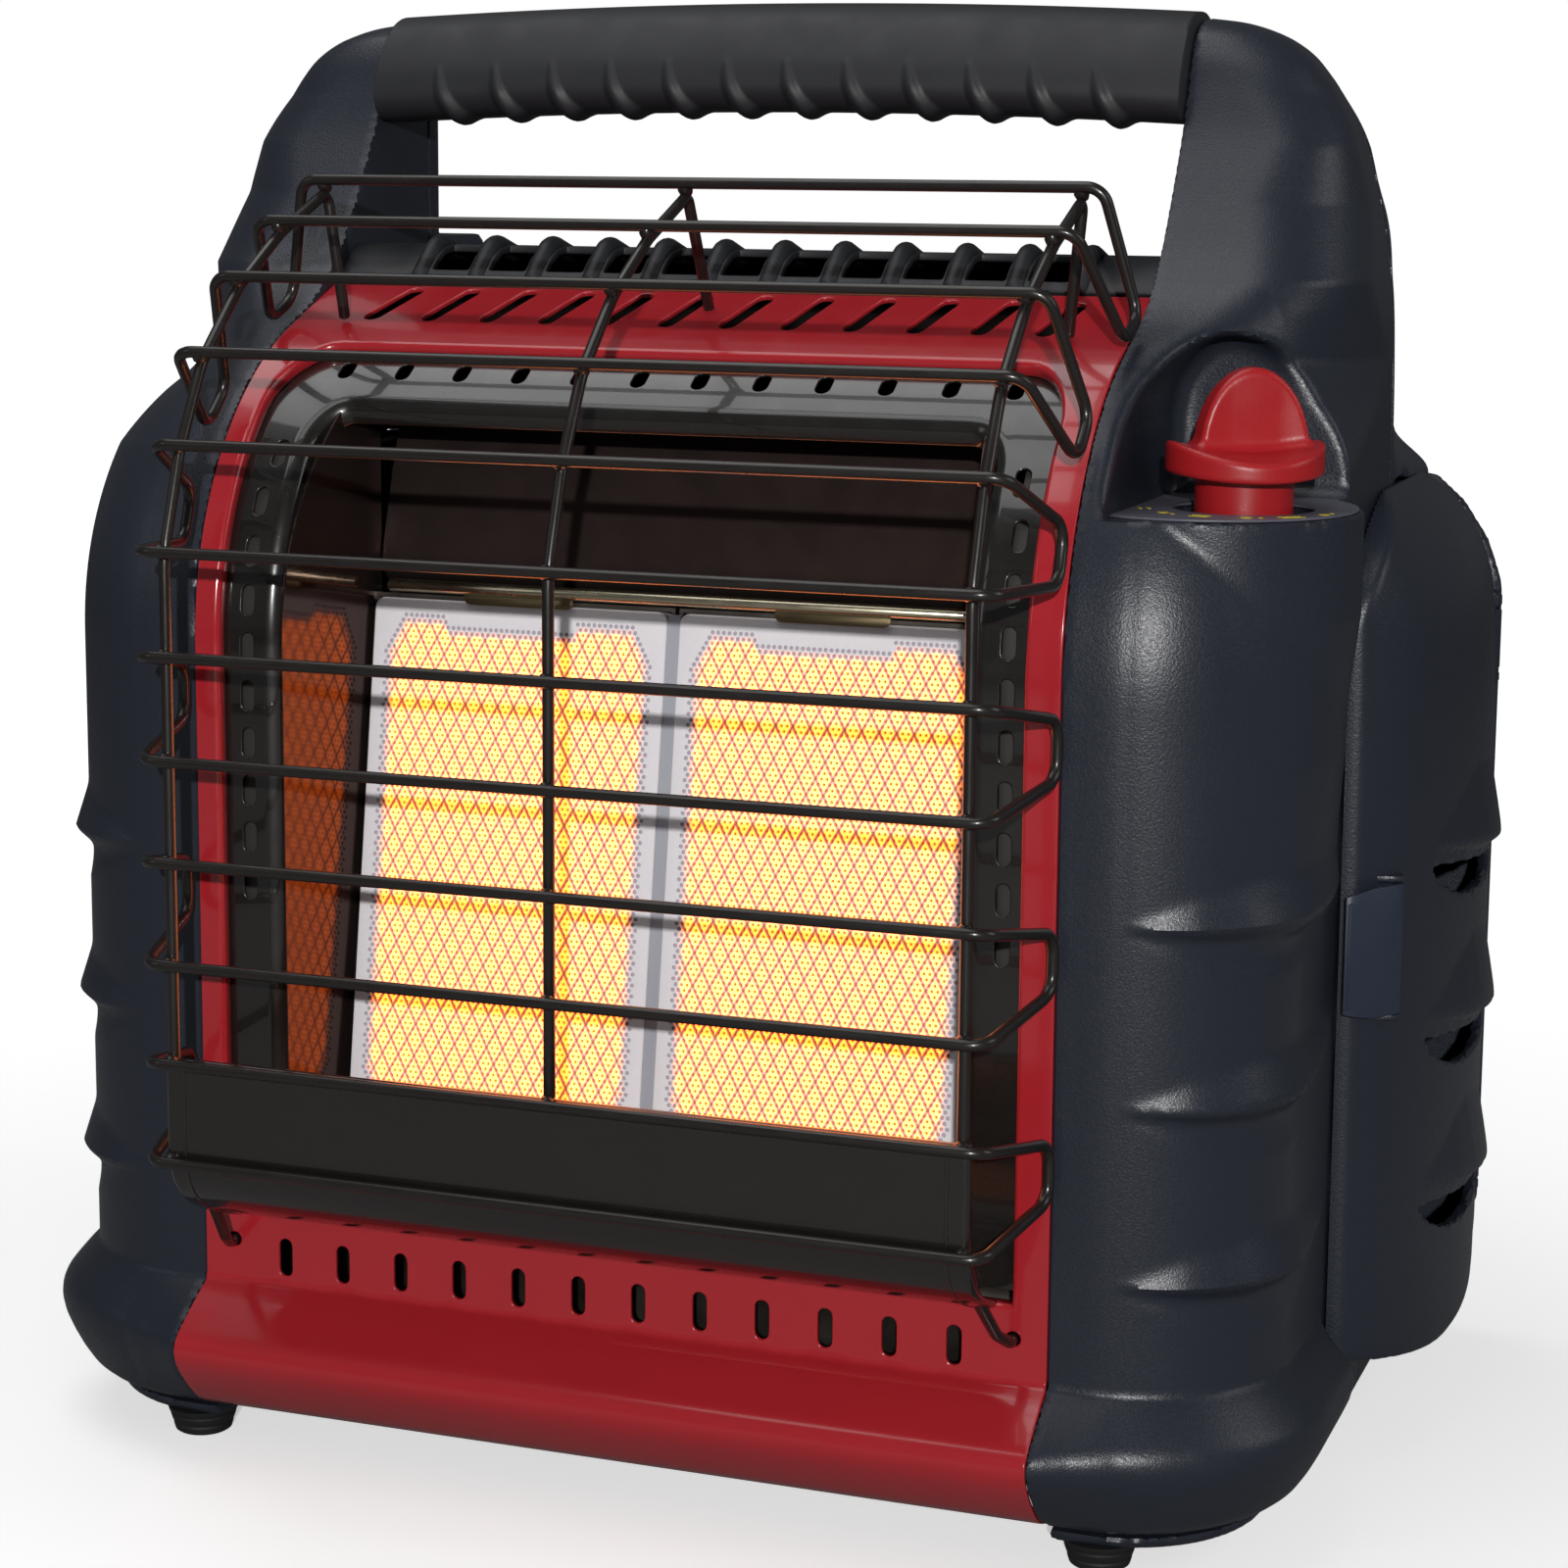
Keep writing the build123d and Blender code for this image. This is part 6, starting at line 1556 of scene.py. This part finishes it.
# ------------------------------------------------------------------ knob and dial
KX, KY, PLAT = 166.5, 52.0, 292.5
KB = PLAT + 8.0


def knob_sdf(x, y, z):
    a = math.radians(28)
    u = (x - KX) * math.cos(a) + (y - KY) * math.sin(a)
    v = -(x - KX) * math.sin(a) + (y - KY) * math.cos(a)
    rr = np.hypot(x - KX, y - KY)
    hub = rmax(rr - 13.5, np.abs(z - (PLAT - 9 + KB + 3) / 2) - (KB + 3 - PLAT + 9) / 2, 0.8)
    # saddle-shaped skirt: high at the ends of the finger bar, low across it
    top = KB + 8.6 + 3.0 * (u / 21.7) ** 2 - 2.2 * (v / 21.7) ** 2
    bot = KB + 1.7 + 0.8 * (u / 21.7) ** 2 - 0.8 * (v / 21.7) ** 2
    skirt = rmax(rmax(rr - 21.7, (z - top) * 0.95, 1.5), (bot - z) * 0.98, 1.2)
    # finger bar: half-round plate, slightly hollow on both faces
    w = 15.6
    uc = u - 1.6
    prof = np.hypot(uc / w * 24.4, np.maximum(z - (KB + 7.0), -3.0)) - 24.2
    prof = prof * 0.72
    thick = 4.3 + 1.0 * smooth(np.abs(uc), 6, 16)
    fin = rmax(prof, np.abs(v) - thick, 1.8)
    fin = np.maximum(fin, KB + 2 - z)
    d = rmin(rmin(hub, skirt, 0.6), fin, 3.0)
    bore = np.maximum(rr - 4.05, z - 303.5)
    cup = np.maximum(rr - 10.0, z - 287.5)
    return np.maximum(d, -np.minimum(bore, cup))


kv, kf = nets(knob_sdf, (143, 28.5, 281.5), (190, 75.5, 334), 0.62, 4)
obj_from("knob_moulding", kv, kf, M["knob"], "control_knob", ["control_knob"], ang=45)


def dial():
    out = [(154.5 + 41.8 * math.cos(math.radians(a)), 57.5 + 41.8 * math.sin(math.radians(a))) for a in range(-104, 45, 4)]
    out = [(max(x, 137.5), y) for x, y in out] + [(186.0, 91.3), (137.5, 91.3), (137.5, 20.0)]
    clean = []
    for p in out:
        if not clean or math.hypot(p[0] - clean[-1][0], p[1] - clean[-1][1]) > 0.6:
            clean.append(p)
    hole = arc_pts(KX, KY, 19.5, 0, 354, 59)

    def fm(u, v):
        o, w = np.zeros_like(u), np.ones_like(u)
        return np.stack([u, v, np.full_like(u, PLAT + 0.75)], 1), np.stack([w, o, o], 1), np.stack([o, w, o], 1), np.stack([o, o, w], 1)

    V, F, nn = sheet_mesh(clean, [hole], fm, 0.7, np.arange(144, 190, 5.0), np.arange(18, 90, 5.0), punched_rim(0.7, 0.25), punched_rim(0.7, 0.25), 4.0)
    obj_from("dial_face", V, F, M["dial"], "housing", ["dial_plate"], normals=nn)
    # generic scale: ticks, dots and plain numbers
    parts = []
    z0, z1 = PLAT + 0.72, PLAT + 0.87
    for k, ang in enumerate((-155, -128, -101, -74, -47, -20)):
        a = math.radians(ang)
        c = np.array([KX - 1.0 + 26.6 * math.cos(a), KY + 26.6 * math.sin(a)])
        rad, tan = np.array([math.cos(a), math.sin(a)]), np.array([-math.sin(a), math.cos(a)])
        if k % 2 == 0:
            w, h = 1.9 + 0.4 * k, 0.8
            for s in (-1, 1):
                q = [c + s * rad * 1.2 + tan * w * i + rad * h * j * 0.5 for i, j in ((-1, -1), (1, -1), (1, 1), (-1, 1))]
                parts.append(prism_mesh(q, z0, z1, 0.04))
        else:
            q = [c + np.array([1.6 * math.cos(t), 1.6 * math.sin(t)]) for t in np.linspace(0, 2 * math.pi, 14, endpoint=False)]
            parts.append(prism_mesh(q, z0, z1, 0.04))
            q = [c + tan * 3.9 + np.array([0.7 * math.cos(t), 0.8 * math.sin(t)]) for t in np.linspace(0, 2 * math.pi, 10, endpoint=False)]
            parts.append(prism_mesh(q, z0, z1, 0.04))
    V, F = merge(parts)
    obj_from("dial_scale", V, F, M["mark"], "housing")


dial()


# ------------------------------------------------------------------ latches and feet
def latches():
    # thumb block with chamfered ends on a curved plate that hooks over the housing
    plate = catmull([(192.0, 87.4), (194.6, 88.6), (197.6, 91.8), (201.7, 96.8), (204.4, 100.9), (205.5, 103.6), (205.0, 105.0), (203.4, 105.3), (202.3, 103.8), (199.6, 99.4), (196.4, 96.2), (193.9, 93.2), (191.6, 89.4)], 3, True)
    block = [(191.6, 88.6), (192.4, 87.4), (193.6, 87.3), (198.3, 92.4), (196.0, 94.4), (193.9, 92.8)]
    v1, f1 = prism_mesh(plate, LATCH_Z0, LATCH_Z1, 0.5)
    v2, f2 = prism_mesh(block, LATCH_Z0 + 3.2, LATCH_Z1 - 3.8, 0.4)
    # the plate's ends slope towards the block
    k = np.clip((199.0 - v1[:, 0]) / 8.0, 0, 1) * 2.2
    v1[:, 2] += np.where(v1[:, 2] > 163.5, -k, k)
    v, f = merge([(v1, f1), (v2, f2)])
    obj_from("right_latch_tab", v, f, M["latch"], "right_door_latch", ["right_door_latch"])
    v, f = mirror_mesh(v, f)
    obj_from("left_latch_tab", v, f, M["latch"], "left_door_latch", ["left_door_latch"])


latches()


def feet():
    parts = []
    for x, y in ((142.0, 17.0), (-142.0, 17.0), (142.0, 225.0), (-142.0, 225.0)):
        prof = [(3.9, 3.0), (4.0, 0.3), (4.4, 0.0), (7.9, 0.0), (8.6, 0.5), (9.1, 2.2), (8.7, 2.8), (9.4, 3.4), (10.0, 5.2), (9.6, 5.7), (10.4, 6.4), (10.9, 7.95), (3.9, 7.95)]
        n = 36
        V = [(x + r * math.cos(2 * math.pi * k / n), y + r * math.sin(2 * math.pi * k / n), z) for r, z in prof for k in range(n)]
        V = np.array(V)
        m = len(prof)
        j = np.arange(n)
        F = [np.stack([i * n + j, i * n + (j + 1) % n, (i + 1) * n + (j + 1) % n, (i + 1) * n + j], 1)[:, ::-1] for i in range(m - 1)]
        F = [np.concatenate(F)[:, ::-1]]
        F.append(np.stack([(m - 1) * n + j, (m - 1) * n + (j + 1) % n, (j + 1) % n, j], 1))
        parts.append((V, F))
    V, F = merge(parts)
    obj_from("lathed_feet", V, F, M["rubber"], "housing", ["rubber_feet"])


feet()

# CAD nodes that stay get their finish here
finish = {
    "handle_rod": "plain", "heat_shield": "steel", "base_pan": "steel", "foot_screws": "plain", "rear_screws": "plain",
    "burner_plenums": "steel", "venturi_tubes": "aluminium", "burner_orifices": "brass", "burner_manifold": "aluminium",
    "burner_bracket": "steel", "gas_valve": "zinc", "valve_stem": "brass", "knob_spring": "plain", "igniter_piezo": "black",
    "left_gas_line": "aluminium", "right_gas_line": "aluminium", "left_tank_bay_liner": "black", "right_tank_bay_liner": "black",
    "swivel_fittings": "brass", "left_regulator": "zinc", "right_regulator": "zinc", "door_hinge_pins": "plain",
    "fan_shroud": "black", "fan_motor": "plain", "fan_rotor": "black", "battery_box": "black", "battery_contacts": "plain",
    "battery_cover": "housing", "fan_switch_body": "black", "fan_switch_rocker": "black", "power_socket": "black",
    "tip_switch_case": "black", "tip_switch_pendulum": "brass", "pilot_burner": "plain", "thermocouple": "plain",
    "igniter_electrode": "white",
}
for node, key in finish.items():
    ob = N[node]
    ob.data.materials.clear()
    ob.data.materials.append(M[key])


# ------------------------------------------------------------------ floor
def floor():
    t = Tree("floor_paper")
    t.set(Roughness=0.9)
    c = t.mix(t.noise(3, 2), (0.86, 0.86, 0.86), (0.89, 0.89, 0.89))
    t.link(c, t.b.inputs["Base Color"])
    # painted light: camera rays see an added emission that rises from 0.5 near the heater to 1.0 beyond 1.3 m, washing
    # the far floor out to white; every other ray sees a darker grey diffuse copy, painted shade in what the floor
    # reflects and bounces
    lp = t.add("ShaderNodeLightPath")
    em = t.add("ShaderNodeEmission")
    ln = t.add("ShaderNodeVectorMath", operation="LENGTH")
    t.link(t.co, ln.inputs[0])
    t.link(t.remap(ln.outputs["Value"], 0.30, 1.30, 0.50, 1.0), em.inputs[1])
    ad = t.add("ShaderNodeAddShader")
    t.link(t.b.outputs[0], ad.inputs[0])
    t.link(em.outputs[0], ad.inputs[1])
    painted_shade_floor = t.add("ShaderNodeBsdfDiffuse")
    painted_shade_floor.inputs[0].default_value = (0.30, 0.30, 0.30, 1)
    mx = t.add("ShaderNodeMixShader")
    t.link(lp.outputs["Is Camera Ray"], mx.inputs[0])
    t.link(painted_shade_floor.outputs[0], mx.inputs[1])
    t.link(ad.outputs[0], mx.inputs[2])
    t.link(mx.outputs[0], t.out.inputs[0])
    n = 64
    V = [(0, YC, -0.02)] + [(9000 * math.cos(2 * math.pi * k / n), YC + 9000 * math.sin(2 * math.pi * k / n), -0.02) for k in range(n)]
    F = np.array([(0, 1 + k, 1 + (k + 1) % n) for k in range(n)])
    obj_from("floor", np.array(V), [F], t.m, None)


floor()
